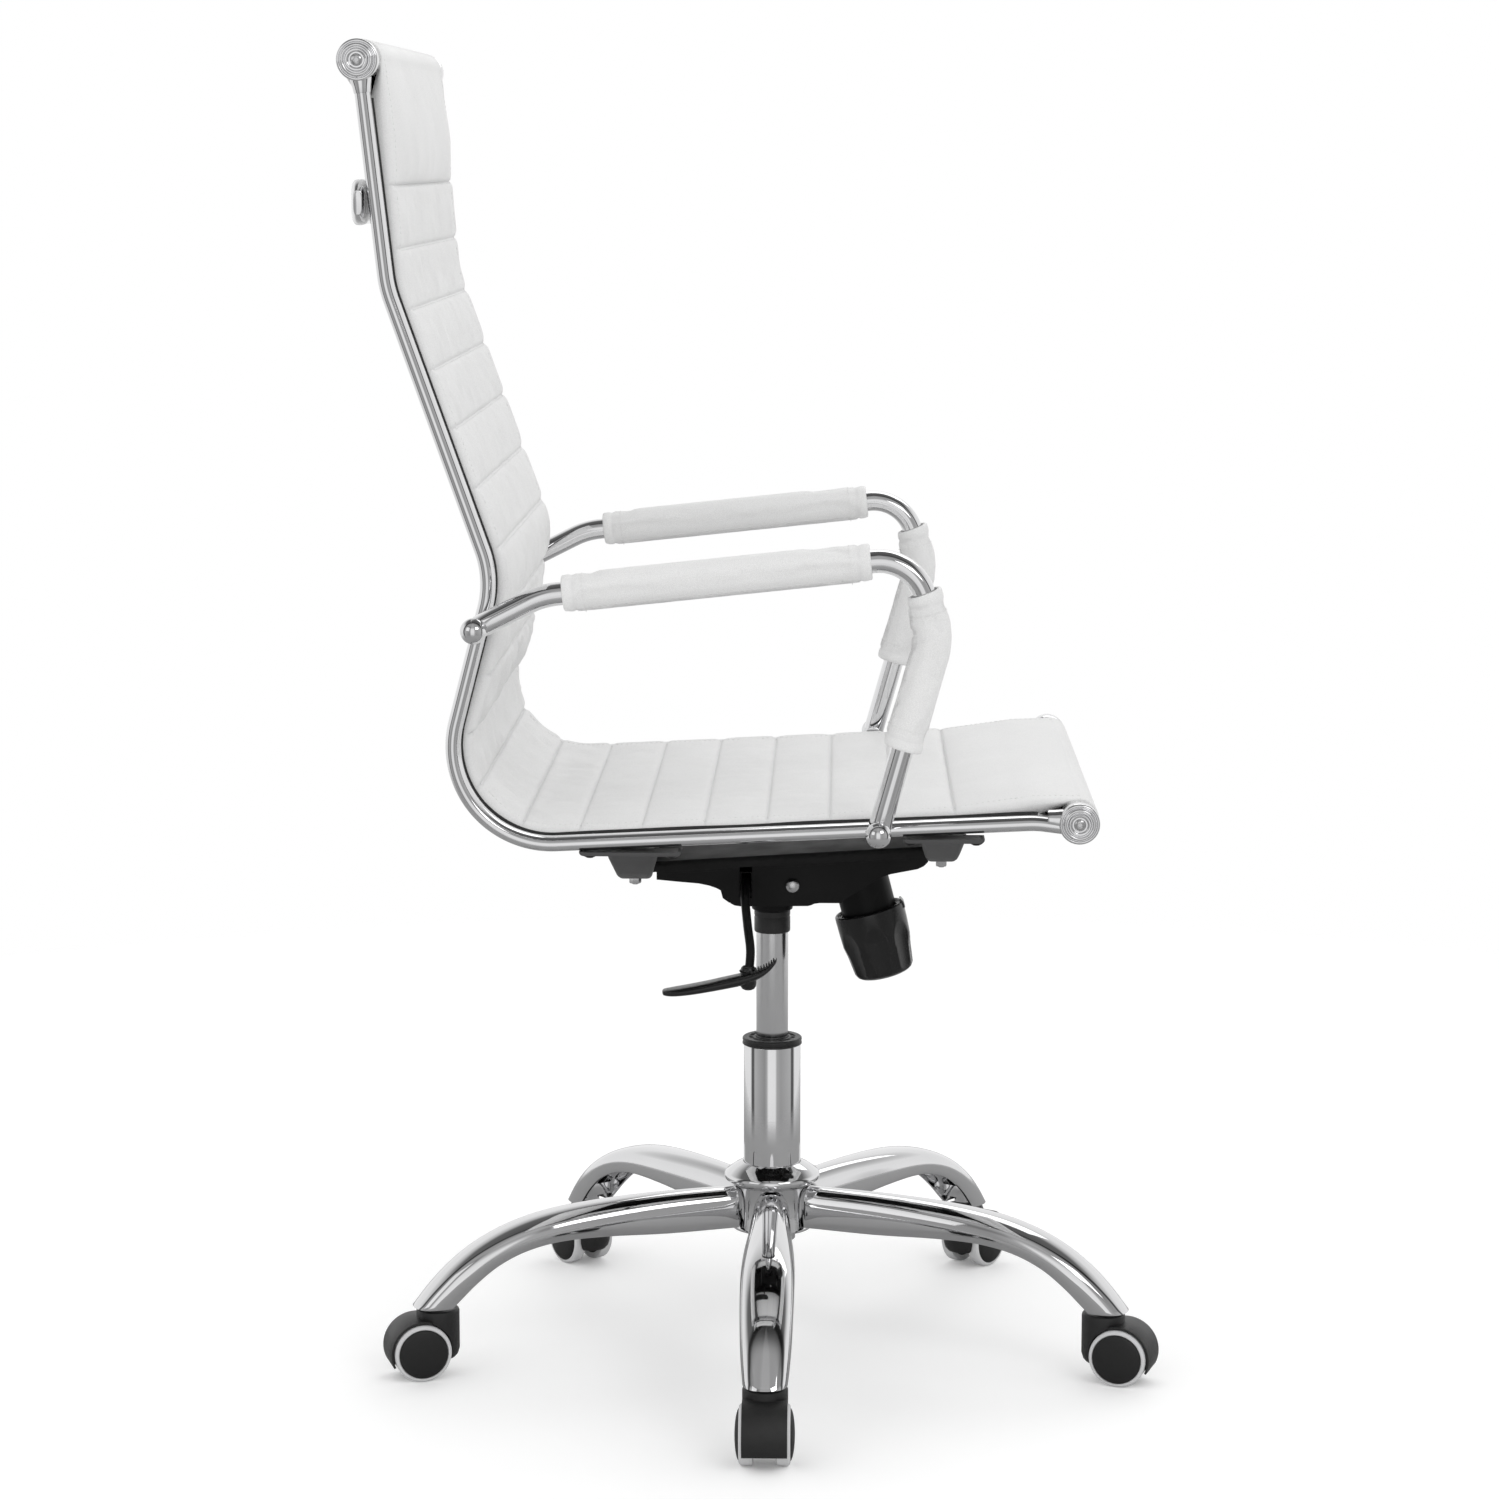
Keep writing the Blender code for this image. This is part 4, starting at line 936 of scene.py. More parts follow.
def buildColumn():
    tube = [
        (0.0225, 0.2740), (0.0250, 0.2740), (0.0250, 0.1680), (0.0240, 0.1087), (0.0206, 0.1045),
        (0.0206, 0.0980), (0.0053, 0.0980), (0.0053, 0.1010), (0.0180, 0.1010), (0.0180, 0.1100),
        (0.0225, 0.1200),
    ]
    addPiece(turned(tube, 96), "columnTube", "chrome", "base", ["column_tube"], bevel=0.0004)
    bush = [
        (0.0143, 0.2150), (0.0222, 0.2150), (0.0222, 0.2743), (0.0258, 0.2743), (0.0262, 0.2747),
        (0.0262, 0.2758), (0.0256, 0.2762), (0.0256, 0.2780), (0.0262, 0.2784), (0.0260, 0.2798),
        (0.0252, 0.2805), (0.0205, 0.2805), (0.0200, 0.2796), (0.0172, 0.2796), (0.0168, 0.2805),
        (0.0147, 0.2805), (0.0143, 0.2800),
    ]
    bush = turned(bush, 96)
    ribSide = [(0.0168, 0.2790), (0.0203, 0.2790), (0.0203, 0.2803), (0.0168, 0.2803)]
    for k in range(12):  # small ribs in the bush's recess
        rib = extruded(ribSide, -0.0006, 0.0006, "Y")
        rib.transform(Matrix.Rotation(math.tau * k / 12, 4, "Z"))
        bush = merged(bush, rib)
    addPiece(bush, "guideBush", "blackPlastic", "base", ["guide_bush"], sharp=35)
    cylinder = [
        (0.0053, 0.2080), (0.0130, 0.2080), (0.0137, 0.2086), (0.0140, 0.2096), (0.0140, 0.4172),
        (0.0132, 0.4180), (0.0045, 0.4180), (0.0045, 0.3950), (0.0120, 0.3950), (0.0120, 0.2125),
        (0.0053, 0.2125),
    ]
    addPiece(turned(cylinder, 96), "gasCylinder", "satinSteel", "lift", ["gas_cylinder"], sharp=35)
    collar = [
        (0.0143, 0.3750), (0.0149, 0.3750), (0.0156, 0.3756), (0.0158, 0.3766), (0.0158, 0.3880),
        (0.0154, 0.3886), (0.0154, 0.3896), (0.0158, 0.3902), (0.0158, 0.3940), (0.0153, 0.3947),
        (0.0143, 0.3947),
    ]
    addPiece(
        turned(collar, 72), "taperCollar", "blackPlastic", "lift", ["taper_collar"],
        sharp=35,
    )


# tilt mechanism

panShape = {
    "half": 0.070, "sheet": 0.0025, "topZ": 0.4602, "slope": -0.0612, "pivot": (-0.0186, 0.429),
    "leverY": 0.0215,
}
panSide = [
    (0.098, 0.4335), (0.080, 0.4318), (0.062, 0.4303), (0.0530, 0.4285), (0.0465, 0.4262), (0.0425, 0.4240),
    (0.0388, 0.4208), (0.0365, 0.4165), (0.0345, 0.4130), (0.0310, 0.4112), (0.0260, 0.4105),
    (-0.0316, 0.4110), (-0.0345, 0.4117), (-0.0373, 0.4130), (-0.0420, 0.4137), (-0.0570, 0.4140),
    (-0.0620, 0.4160), (-0.0900, 0.4338), (-0.0960, 0.4370), (-0.1030, 0.4392), (-0.1256, 0.4436),
    (-0.1310, 0.4462), (-0.1346, 0.4500),
]


def panTop(y):
    return panShape["topZ"] + panShape["slope"] * y


def pivotHole(radius):
    return turned([(0, -0.09), (radius, -0.09), (radius, 0.09), (0, 0.09)], 32, alongX(0, *panShape["pivot"]))


def leverWindow(low, high, half=0.0054):
    y = panShape["leverY"]
    return [(y - half, low), (y + half, low), (y + half, high), (y - half, high)]


def buildPan():
    p = panShape
    outline = [(0.098, panTop(0.098))] + panSide + [(-0.1346, panTop(-0.1346))]
    shell = extruded(outline[::-1], -p["half"], p["half"])
    inside, sheet = p["half"] - p["sheet"], p["sheet"]
    hollow = [(0.150, panTop(0.150) - sheet), (-0.180, panTop(-0.180) - sheet), (-0.180, 0.38), (0.150, 0.38)]
    shell = carved(shell, extruded(hollow, -inside, inside))
    edge = np.linspace(0, math.pi / 2, 7)
    outer = [(0.1000, -0.0085)]
    outer += [(0.0955 + 0.0045 * math.cos(a), -0.0045 + 0.0045 * math.sin(a)) for a in edge]
    inner = [(0.0955 + 0.0023 * math.cos(a), -0.0045 + 0.0023 * math.sin(a)) for a in edge[::-1]]
    inner += [(0.0978, -0.0085)]
    section = outer + [(0.0, 0.0)] + [(-x, z) for x, z in outer[::-1]]
    section += [(-x, z) for x, z in inner[::-1]] + [(0.0, -0.0022)] + inner
    rings = []
    for y, share in ((0.1200, 0.9985), (0.1190, 1), (-0.1510, 1), (-0.1520, 0.9985)):
        rings.append([(x * share, y, panTop(y) + z) for x, z in section])
    shell = carved(shell, skinned(rings), operation="UNION")
    beadEnds = ((0.088, 0.0130), (0.088, 0.0160), (-0.118, 0.0160), (-0.118, 0.0130))
    bead = [(y, panTop(y) - drop) for y, drop in beadEnds]
    for sign in (-1, 1):  # pressed beads stiffen the walls
        low, high = sorted((sign * (p["half"] - 0.001), sign * (p["half"] + 0.0009)))
        shell = carved(shell, extruded(bead, low, high), operation="UNION")
    shell = carved(shell, pivotHole(0.0053), extruded(leverWindow(0.4178, 0.4458), -0.080, -0.060))
    addPiece(shell, "tiltPan", "blackSteel", "seat", ["tilt_pan"], bevel=0.0005, weighted=True)


def knobFrame():
    return Matrix.Translation((0, -0.0844, 0.3957)) @ Matrix.Rotation(-math.radians(14.6), 4, "X")


def buildBracket():
    side = [
        (0.045, 0.4385), (0.045, 0.4300), (0.0415, 0.4165), (0.036, 0.4125), (-0.0600, 0.4125),
        (-0.0700, 0.4220), (-0.0760, 0.4350), (-0.0920, 0.4400), (-0.0920, 0.4560), (-0.030, 0.4530),
    ]
    hollow = [
        (0.0425, 0.470), (0.0425, 0.4310), (0.0345, 0.4150), (-0.0580, 0.4150), (-0.0740, 0.4375),
        (-0.0895, 0.4422), (-0.0895, 0.470),
    ]
    body = carved(extruded(side[::-1], -0.0640, 0.0640), extruded(hollow[::-1], -0.0615, 0.0615))
    tube = [(0, -0.0100), (0.0236, -0.0100), (0.0240, -0.0094), (0.0240, 0.0480), (0, 0.0480)]
    body = carved(body, turned(tube, 64, knobFrame()), operation="UNION")
    for radius, low, high, steps in ((0.022, -0.02, 0.044, 48), (0.0058, 0.04, 0.06, 24)):
        bore = [(0, low), (radius, low), (radius, high), (0, high)]
        body = carved(body, turned(bore, steps, knobFrame()))
    socket = [
        (0, 0.3950), (0.0172, 0.3950), (0.0178, 0.3956), (0.0185, 0.3990), (0.0198, 0.4060), (0.0205, 0.4130),
        (0.0190, 0.4170), (0, 0.4170),
    ]
    body = carved(body, turned(socket, 64), operation="UNION")
    body = carved(body, turned([(0, 0.38), (0.0143, 0.38), (0.0143, 0.43), (0, 0.43)], 64), pivotHole(0.0053))
    body = carved(body, extruded(leverWindow(0.4220, 0.4600)[::-1], -0.075, -0.055))
    addPiece(
        body, "lowerBracket", "blackSteel", "lift", ["lower_bracket"], bevel=0.0004,
        weighted=True,
    )


def buildPivotPin():
    reach = panShape["half"] + 0.0012
    crown = [
        (0.0064, 0.0004), (0.0062, 0.0012), (0.0054, 0.0024), (0.0038, 0.0033), (0.0018, 0.0037), (0, 0.0038),
    ]
    head = [(0.0064, reach - 0.0008)] + [(radius, reach + rise) for radius, rise in crown]
    shank = [(0.0050, -reach + 0.0008), (0.0050, reach - 0.0008)]
    outline = [(r, -x) for r, x in reversed(head)] + shank + head
    pin = turned(outline, 40, alongX(0, *panShape["pivot"]))
    addPiece(pin, "tiltPivotPin", "zinc", "lift", ["tilt_pivot_pin"])


knobShape = {
    "facets": 7, "steps": 168, "flat": 0.0306, "hollow": 0.0015, "hollowDepth": 0.012, "least": 0.72,
    "flats": [(-0.0130, 0.110, 0.0), (-0.0270, 0.125, 0.5)],
}
knobOutline = [
    (0.0, 0.0296), (-0.0010, 0.0306), (-0.0030, 0.0308), (-0.0150, 0.0306), (-0.0300, 0.0302),
    (-0.0400, 0.0297), (-0.0480, 0.0285), (-0.0540, 0.0266), (-0.0580, 0.0240), (-0.0596, 0.0215),
    (-0.0606, 0.0185), (-0.0612, 0.0120),
]
knobCavity = [
    (0.0045, 0.0530), (0.0050, 0.0525), (0.0050, -0.0100), (0.0052, -0.0105), (0.0248, -0.0105),
    (0.0248, -0.0022), (0.0276, -0.0016), (0.0284, 0.0002),
]
knobTab = [(-0.0312, -0.0010), (-0.0296, 0.0022), (-0.0280, 0.0022), (-0.0284, -0.0060), (-0.0314, -0.0060)]


def knobReach(turn, z, radius):
    # the grip's lower part is cut by slanted flats, each hollowed a little, that meet in points
    k, reach = knobShape, radius
    for start, slope, first in k["flats"]:
        near = (turn * k["facets"] / math.tau + first) % 1 - 0.5
        drop = start - z
        if drop > 0:
            hollow = k["hollow"] * min(1.0, drop / k["hollowDepth"]) * (1 - (2 * near) ** 2)
            flat = (k["flat"] - drop * slope) / math.cos(near * math.tau / k["facets"]) - hollow
            reach = min(reach, max(flat, k["least"] * radius))
    return reach


def buildKnob():
    steps = knobShape["steps"]
    heights = [0.0, -0.0010, -0.0030, -0.0090, -0.0145] + list(np.linspace(-0.0150, -0.0560, 28))
    heights += [-0.0580, -0.0596, -0.0606, -0.0612]
    outer = np.array(knobOutline)[::-1]
    turns = [math.tau * step / steps for step in range(steps)]
    rings = [circlePoints(radius, z, steps) for radius, z in knobCavity]
    for z in heights:
        radius = float(np.interp(z, outer[:, 0], outer[:, 1]))
        reaches = [knobReach(turn, z, radius) for turn in turns]
        rings.append([(reach * math.cos(t), reach * math.sin(t), z) for reach, t in zip(reaches, turns)])
    rings.append(circlePoints(0.0060, heights[-1], steps))
    mesh = merged(skinned(rings), extruded(knobTab, -0.0065, 0.0065))
    mesh.transform(knobFrame())
    addPiece(mesh, "tensionKnob", "glossPlastic", "knob", ["tension_knob"], sharp=24)


leverRoute = [
    (0.012, 0.0, 0.430), (-0.010, 0.0, 0.430), (-0.034, 0.0195, 0.430), (-0.040, 0.0215, 0.430),
    (-0.098, 0.0215, 0.430), (-0.122, 0.0205, 0.4230), (-0.143, 0.0180, 0.4070), (-0.155, 0.0155, 0.3900),
    (-0.160, 0.0165, 0.3735), (-0.1602, 0.0170, 0.3668),
]
paddleLine = [
    (0.0890, 0.3555, 0.0030, 0.0014), (0.0875, 0.3555, 0.0078, 0.0025), (0.0800, 0.3560, 0.0112, 0.0034),
    (0.0660, 0.3580, 0.0128, 0.0040), (0.0500, 0.3610, 0.0130, 0.0043), (0.0370, 0.3638, 0.0126, 0.0047),
    (0.0237, 0.3668, 0.0120, 0.0049), (0.0140, 0.3697, 0.0115, 0.0043), (0.0060, 0.3730, 0.0110, 0.0036),
    (0.0000, 0.3768, 0.0100, 0.0028), (-0.0038, 0.3803, 0.0080, 0.0022), (-0.0062, 0.3830, 0.0052, 0.0017),
    (-0.0068, 0.3838, 0.0024, 0.0010),
]


def tubeRings(route, radius, sides):
    rings, across = [], Vector((0, 1, 0))
    route = [Vector(point) for point in route]
    for index, point in enumerate(route):
        along = (route[min(index + 1, len(route) - 1)] - route[max(index - 1, 0)]).normalized()
        first = (across - along * across.dot(along)).normalized()
        second = along.cross(first)
        turns = [math.tau * k / sides for k in range(sides)]
        rings.append([point + (first * math.cos(t) + second * math.sin(t)) * radius for t in turns])
    return rings


def buildLever():
    route = smoothRows(leverRoute[:5], 3).tolist()[:-1] + smoothRows(leverRoute[4:], 6).tolist()
    rod = skinned(tubeRings(route, 0.00375, 20))
    addPiece(rod, "gasLever", "blackSteel", "lever", ["gas_lever"], bevel=0.0005)
    rings = []
    for y, z, half, thick in smoothRows(paddleLine, 4):
        section = oval(36, 2 * thick, 2 * half, 2.5)
        # the upper face is dished a little along its middle
        depth = min(1.0, thick / 0.004)
        dish = [0.0009 * max(0.0, 1 - (v / half) ** 2) * (u > 0) * depth for u, v in section]
        rings.append([(-0.162 + v, y + u * 0.15, z + u - d) for (u, v), d in zip(section, dish)])
    blade = skinned(rings)
    bead = [
        (0, -0.0095), (0.0032, -0.0092), (0.0052, -0.0082), (0.0066, -0.0060), (0.0070, -0.003),
        (0.0070, 0.0035), (0.0067, 0.0070), (0.0060, 0.0098), (0.0045, 0.0112), (0.0039, 0.0114), (0, 0.0114),
    ]
    boss = turned(bead, 40, Matrix.Translation((-0.160, 0.0172, 0.3665)))
    rimmed = [(0, -0.0008), (0.0070, -0.0008), (0.0078, 0), (0.0070, 0.0008), (0, 0.0008)]
    washer = turned(rimmed, 40, Matrix.Translation((-0.160, 0.0172, 0.3735)))
    addPiece(
        merged(blade, boss, washer), "leverPaddle", "glossPlastic", "lever",
        ["lever_paddle"], sharp=50,
    )
    # grip ridges across the paddle's raised front
    section = oval(8, 2, 2, 2) * 0.0011
    ridge = hiddenShape(skinned([[(u, x, v) for u, v in section] for x in (-0.0075, 0.0075)]), "ridgeShape")
    chosen = [row for row in smoothRows(paddleLine, 4) if -0.0045 < row[0] < 0.0155]
    ends = [chosen[int(i)] for i in np.linspace(0, len(chosen) - 1, 9)]
    row = [(columnX - 0.162, y, z + thick * 0.93) for y, z, half, thick in ends]
    thing = pointRows("paddleRidges", [row], [[(0, 0.5, 0.85)] * len(row)])
    growWith(thing, "stitches", Stitch=ridge, Finish=finish["glossPlastic"], Pitch=0.0024)
    thing.data.shade_smooth()
    finishPiece(thing, "glossPlastic", "lever")
    forget(ridge)


# side frames, caps at the rollers' ends, and cross bars

frameShape = {
    "x": 0.2415, "depth": 0.0125, "width": 0.022, "top": (0.3221, 1.1215), "front": (-0.2521, 0.5150),
    "cap": 0.0165,
}
frameCorners = [
    (0.3221, 1.1215, 0), (0.3025, 0.9435, 0.092), (0.2207, 0.7115, 0.079), (0.2784, 0.4907, 0.079),
    (-0.2176, 0.5144, 0.075), (-0.2521, 0.5100, 0),
]
frameTrack = Track(filletPath(frameCorners))
sides = (("right", -1), ("left", 1))


def buildSideFrames():
    f = frameShape
    marks = frameTrack.spread(0.012, frameTrack.total - 0.012)
    section = oval(36, f["depth"], f["width"])
    for side, sign in sides:
        mesh = skinned(sweptRings(frameTrack, marks, sign * f["x"], section))
        addPiece(mesh, f"sideFrame_{side}", "chrome", "seat", [f"side_frame_{side}"])


def buildCaps():
    radius = frameShape["cap"]
    outline = [
        (0, 0.2303), (radius - 0.0006, 0.2303), (radius, 0.2309), (radius, 0.2524), (radius - 0.0003, 0.2534),
        (radius - 0.0010, 0.2540), (radius - 0.0019, 0.2541), (radius - 0.0025, 0.2536),
        (radius - 0.0028, 0.2528), (0.0134, 0.2528), (0.0131, 0.2534), (0.0128, 0.2558), (0.0124, 0.2565),
        (0.0116, 0.2568), (0.0108, 0.2566), (0.0104, 0.2560), (0.0101, 0.2550), (0.0096, 0.2550),
        (0.0092, 0.2556), (0.0088, 0.2572), (0.0083, 0.2578), (0.0070, 0.2578), (0.0064, 0.2572),
        (0.0061, 0.2562), (0.0058, 0.2562), (0, 0.2562),
    ]
    screw = hiddenShape(boltShape(0.0050, 0.0021, True, 0.0022, 0.0016), "capScrew")
    screws = []
    neck = [
        (0.010, 0.0190, 0.0232), (0.0170, 0.0166, 0.0230), (0.0210, 0.0148, 0.0229), (0.0252, 0.0136, 0.0228),
        (0.0260, 0.0130, 0.0222),
    ]
    for place, at in (("top", 0.0), ("front", frameTrack.total)):
        y, z = frameShape[place]
        for side, sign in sides:
            cap = turned([(r, x * sign) for r, x in outline], 80, alongX(0, y, z))
            # the neck that the side tube enters
            way = frameTrack.along(at) * (1 if place == "top" else -1)
            normal = np.array((-way[1], way[0]))
            rings = []
            for reach, depth, width in neck:
                midY, midZ = np.array((y, z)) + way * reach
                ring = oval(36, depth, width)
                x = sign * frameShape["x"]
                rings.append([(x + v, midY + normal[0] * u, midZ + normal[1] * u) for u, v in ring])
            cap = merged(cap, skinned(rings))
            addPiece(cap, f"{place}Cap_{side}", "chrome", "seat", [f"{place}_cap_{side}"], sharp=50)
            screws.append(((sign * 0.2562, y, z), (sign, 0, 0)))
    addFasteners("capScrews", screw, screws, "zinc", "seat")
    forget(screw)


def buildSpreader():
    rings = []
    for x in np.linspace(-0.250, 0.250, 29):
        bow = 0.0055 * (1 - (x / 0.250) ** 2)
        edge = min(1.0, (0.250 - abs(x)) / 0.004 + 0.55)
        section = oval(44, 0.0360 * edge, 0.0130 * edge, 3.4)
        rings.append([(x, 0.3235 + bow + v, 1.0105 + u) for u, v in section])
    addPiece(skinned(rings), "backSpreader", "chrome", "seat", ["back_spreader"], bevel=0.0008)


def channelRing(x, middle, z, half, rise, thick=0.0030, corner=0.0045):
    # section of a channel open upwards, with rounded lower corners
    points = []
    for inset, order in ((0.0, 1), (thick, -1)):
        w, foot = half - inset, z + inset
        r = min(max(corner - inset, 0.0006), max(rise - inset, 0.0004))
        arc = [(-w + r - r * math.cos(a), foot + r - r * math.sin(a)) for a in np.linspace(0, math.pi / 2, 5)]
        side = [(-w, z + rise)] + arc
        points += (side + [(-y, q) for y, q in side[::-1]])[::order]
    return [(x, middle + y, q) for y, q in points]


def buildStretcher(name, node, middle, plateZ, lowZ, plateHalf, topHalf, lowHalf):
    # foot plates under the side tubes, and a pressed channel between them
    base = plateZ - 0.0017
    drop = base - (lowZ - 0.0017)
    rows = [
        (0.2520, 0.0, plateHalf - 0.0012, 0.0034), (0.2512, 0.0, plateHalf, 0.0034),
        (0.2298, 0.0, plateHalf, 0.0034), (0.2296, 0.0, topHalf, 0.0034), (0.2265, 0.02, topHalf, 0.0034),
        (0.2235, 0.09, topHalf, 0.0050), (0.2120, 0.36, topHalf - 0.0012, 0.0125),
        (0.1960, 0.76, lowHalf + 0.0020, 0.0225), (0.1880, 0.92, lowHalf + 0.0007, 0.0255),
        (0.1800, 0.995, lowHalf, 0.0260), (0.1700, 1.0, lowHalf, 0.0240), (0.1500, 1.0, lowHalf, 0.0170),
        (0.1200, 1.0, lowHalf, 0.0140),
    ]
    rows += [(-x, fall, half, rise) for x, fall, half, rise in reversed(rows)]
    rings = [channelRing(x, middle, base - drop * fall, half, rise) for x, fall, half, rise in rows]
    addPiece(skinned(rings), name, "greySteel", "seat", [node], bevel=0.0005, sharp=50)


stretchers = [
    ("rearStretcher", "rear_stretcher", 0.1105, 0.4888, 0.4567, 0.0415, 0.0215, 0.0145),
    ("frontStretcher", "front_stretcher", -0.1430, 0.5003, 0.4722, 0.0330, 0.0190, 0.0130),
]


def buildFrameFasteners():
    nut = hiddenShape(nutShape(0.0100, 0.0042, 0.0026), "nutShape")
    head = hiddenShape(boltShape(0.0058, 0.0030, True, 0.0026, 0.0018), "headShape")
    nuts, heads, tops = [], [], []
    for _, _, middle, plateZ, lowZ, plateHalf, _, _ in stretchers:
        for _, sign in sides:
            for edge in (-0.80, 0.80):
                y = middle + edge * plateHalf
                heads.append(((sign * 0.2415, y, plateZ - 0.0017), (0, 0, -1)))
                tops.append(((sign * 0.2332, y, plateZ + 0.0118), (-sign * 0.25, 0, 1)))
            nuts.append(((sign * 0.176, middle, lowZ - 0.0017), (0, 0, -1)))
            nuts.append(((sign * 0.085, middle, lowZ - 0.0017), (0, 0, -1)))
    addFasteners("stretcherNuts", nut, nuts, "zinc", "seat")
    addFasteners("tubeBolts", head, heads, "blackSteel", "seat", seed=5)
    addFasteners("plateBolts", head, tops, "blackSteel", "seat", size=0.9, seed=7)
    forget(nut, head)


# arms

armShape = {"x": 0.2680, "depth": 0.0185, "width": 0.0280, "ball": 0.0105, "ballX": 0.2835}
armCorners = [
    (0.2326, 0.6740, 0), (0.1790, 0.7010, 0.070), (-0.1185, 0.7325, 0.038), (-0.1340, 0.6680, 0.060),
    (-0.0897, 0.5109, 0),
]
armTrack = Track(filletPath(armCorners))


def buildArms():
    a = armShape
    marks = armTrack.spread(0.003, armTrack.total - 0.003, 0.02)
    section = oval(40, a["depth"], a["width"])
    for side, sign in sides:
        # each end is drawn in to the ball that joins it to the frame
        rings = sweptRings(armTrack, marks, sign * a["x"], section)
        arm = skinned(rings)
        for y, z in (armCorners[0][:2], armCorners[-1][:2]):
            ball = [
                (0, 0.2530), (0.0072, 0.2530), (0.0075, 0.2534), (0.0075, 0.2562), (0.0066, 0.2568),
                (0.0066, 0.2700), (0.0078, 0.2752),
            ]
            for t in np.linspace(-0.72, math.pi / 2, 16):
                ball.append((a["ball"] * math.cos(t), a["ballX"] + a["ball"] * math.sin(t)))
            ball[-1] = (0, a["ballX"] + a["ball"])
            arm = merged(arm, turned([(r, x * sign) for r, x in ball], 48, alongX(0, y, z)))
        addPiece(
            arm, f"armTube_{side}", "chrome", "seat", [f"arm_tube_{side}"], bevel=0.0006, sharp=45,
        )


# sizes of the black strip that paints the shade in the gap beside each side tube
gapStripShape = {"x": 0.2298, "half": 0.0005, "low": 0.0025, "high": 0.0064, "wave": 0.0004}


def buildGapShadeStrips():
    # black strip in the gap between the tube and the leather's edge, shaped like a flexible bead: painted
    # shade for the dark gap there
    b = gapStripShape
    marks = np.arange(0.030, frameTrack.total - 0.030, 0.0045)
    centre, ahead = frameTrack.at(marks), -frameTrack.left(marks)
    waves = 1 + np.sin(marks * 43) * 0.6 + np.sin(marks * 71 + 1) * 0.4
    tops = b["high"] + b["wave"] * waves * np.clip((marks - 0.62) / 0.06, 0, 1)
    for side, sign in sides:
        rings = []
        for mid, way, top in zip(centre, ahead, tops):
            ring = []
            for u, v in ((-1, 0.0), (-0.5, 0.03), (0.5, 0.03), (1, 0.0), (1, -1.0), (-1, -1.0)):
                offset = top + v * (top - b["low"]) if v <= 0 else top + 0.0003
                x = sign * (b["x"] + u * b["half"])
                ring.append((x, mid[0] + way[0] * offset, mid[1] + way[1] * offset))
            rings.append(ring)
        addPiece(skinned(rings), f"edgeBead_{side}", "blackPlastic", "seat", sharp=60)


# soft pieces


def clothGrid(name, grid, faces):
    data = bpy.data.meshes.new(name)
    data.from_pydata(grid.reshape(-1, 3).tolist(), [], faces.tolist())
    return linked(name, data)


def settleCloth(thing, pinned, pressure, frames, grow, stiffness=12.0, bending=0.4):
    # runs the cloth and returns where its points come to rest
    group = thing.vertex_groups.new(name="pinned")
    group.add([int(k) for k in pinned], 1.0, "REPLACE")
    cloth = thing.modifiers.new("cloth", "CLOTH")
    s = cloth.settings
    s.quality, s.mass, s.air_damping = 6, 0.25, 1.5
    s.tension_stiffness = s.compression_stiffness = s.shear_stiffness = stiffness
    s.bending_stiffness = bending
    s.vertex_group_mass = "pinned"
    s.shrink_min = -grow
    s.use_pressure, s.uniform_pressure_force = True, pressure
    s.effector_weights.gravity = 0
    cloth.collision_settings.use_collision = False
    cloth.point_cache.frame_start, cloth.point_cache.frame_end = 1, frames
    scene = bpy.context.scene
    scene.frame_start, scene.frame_end = 1, frames
    for number in range(1, frames + 1):
        scene.frame_set(number)
    mesh = thing.evaluated_get(bpy.context.evaluated_depsgraph_get()).to_mesh()
    points = np.empty(len(mesh.vertices) * 3)
    mesh.vertices.foreach_get("co", points)
    thing.modifiers.clear()
    scene.frame_set(1)
    return points.reshape(-1, 3)


slingShape = {
    "half": 0.2290, "underHalf": 0.2245, "columns": 61, "rowPitch": 0.0058, "wrapOut": 0.0170,
    "wrapIn": 0.0125, "flap": 0.034, "overWrap": 27.0, "groove": 0.0011, "headrestPillow": 0.0070,
    "frontPillow": 0.0040, "pressure": 3.2, "frames": 22, "grow": 0.045, "pitch": 0.0046,
}
seamMarks = [
    0.0995, 0.150, 0.201, 0.252, 0.302, 0.353, 0.404, 0.453, 0.5025, 0.5545, 0.6065, 0.660, 0.7105, 0.7615,
    0.8125, 0.8635, 0.9145, 0.965, 1.016,
]
# how far the face stands before the tube's middle at each seam, and how much each panel between seams crowns
seamFace = [
    0.0128, 0.0114, 0.0104, 0.0101, 0.0102, 0.0104, 0.0112, 0.0128, 0.0150, 0.0118, 0.0100, 0.0092, 0.0090,
    0.0090, 0.0088, 0.0088, 0.0090, 0.0092, 0.0096,
]
panelRise = [
    0.0036, 0.0034, 0.0036, 0.0036, 0.0036, 0.0036, 0.0038, 0.0040, 0.0046, 0.0062, 0.0052, 0.0046, 0.0032,
    0.0026, 0.0026, 0.0026, 0.0026, 0.0026, 0.0026, 0.0024,
]


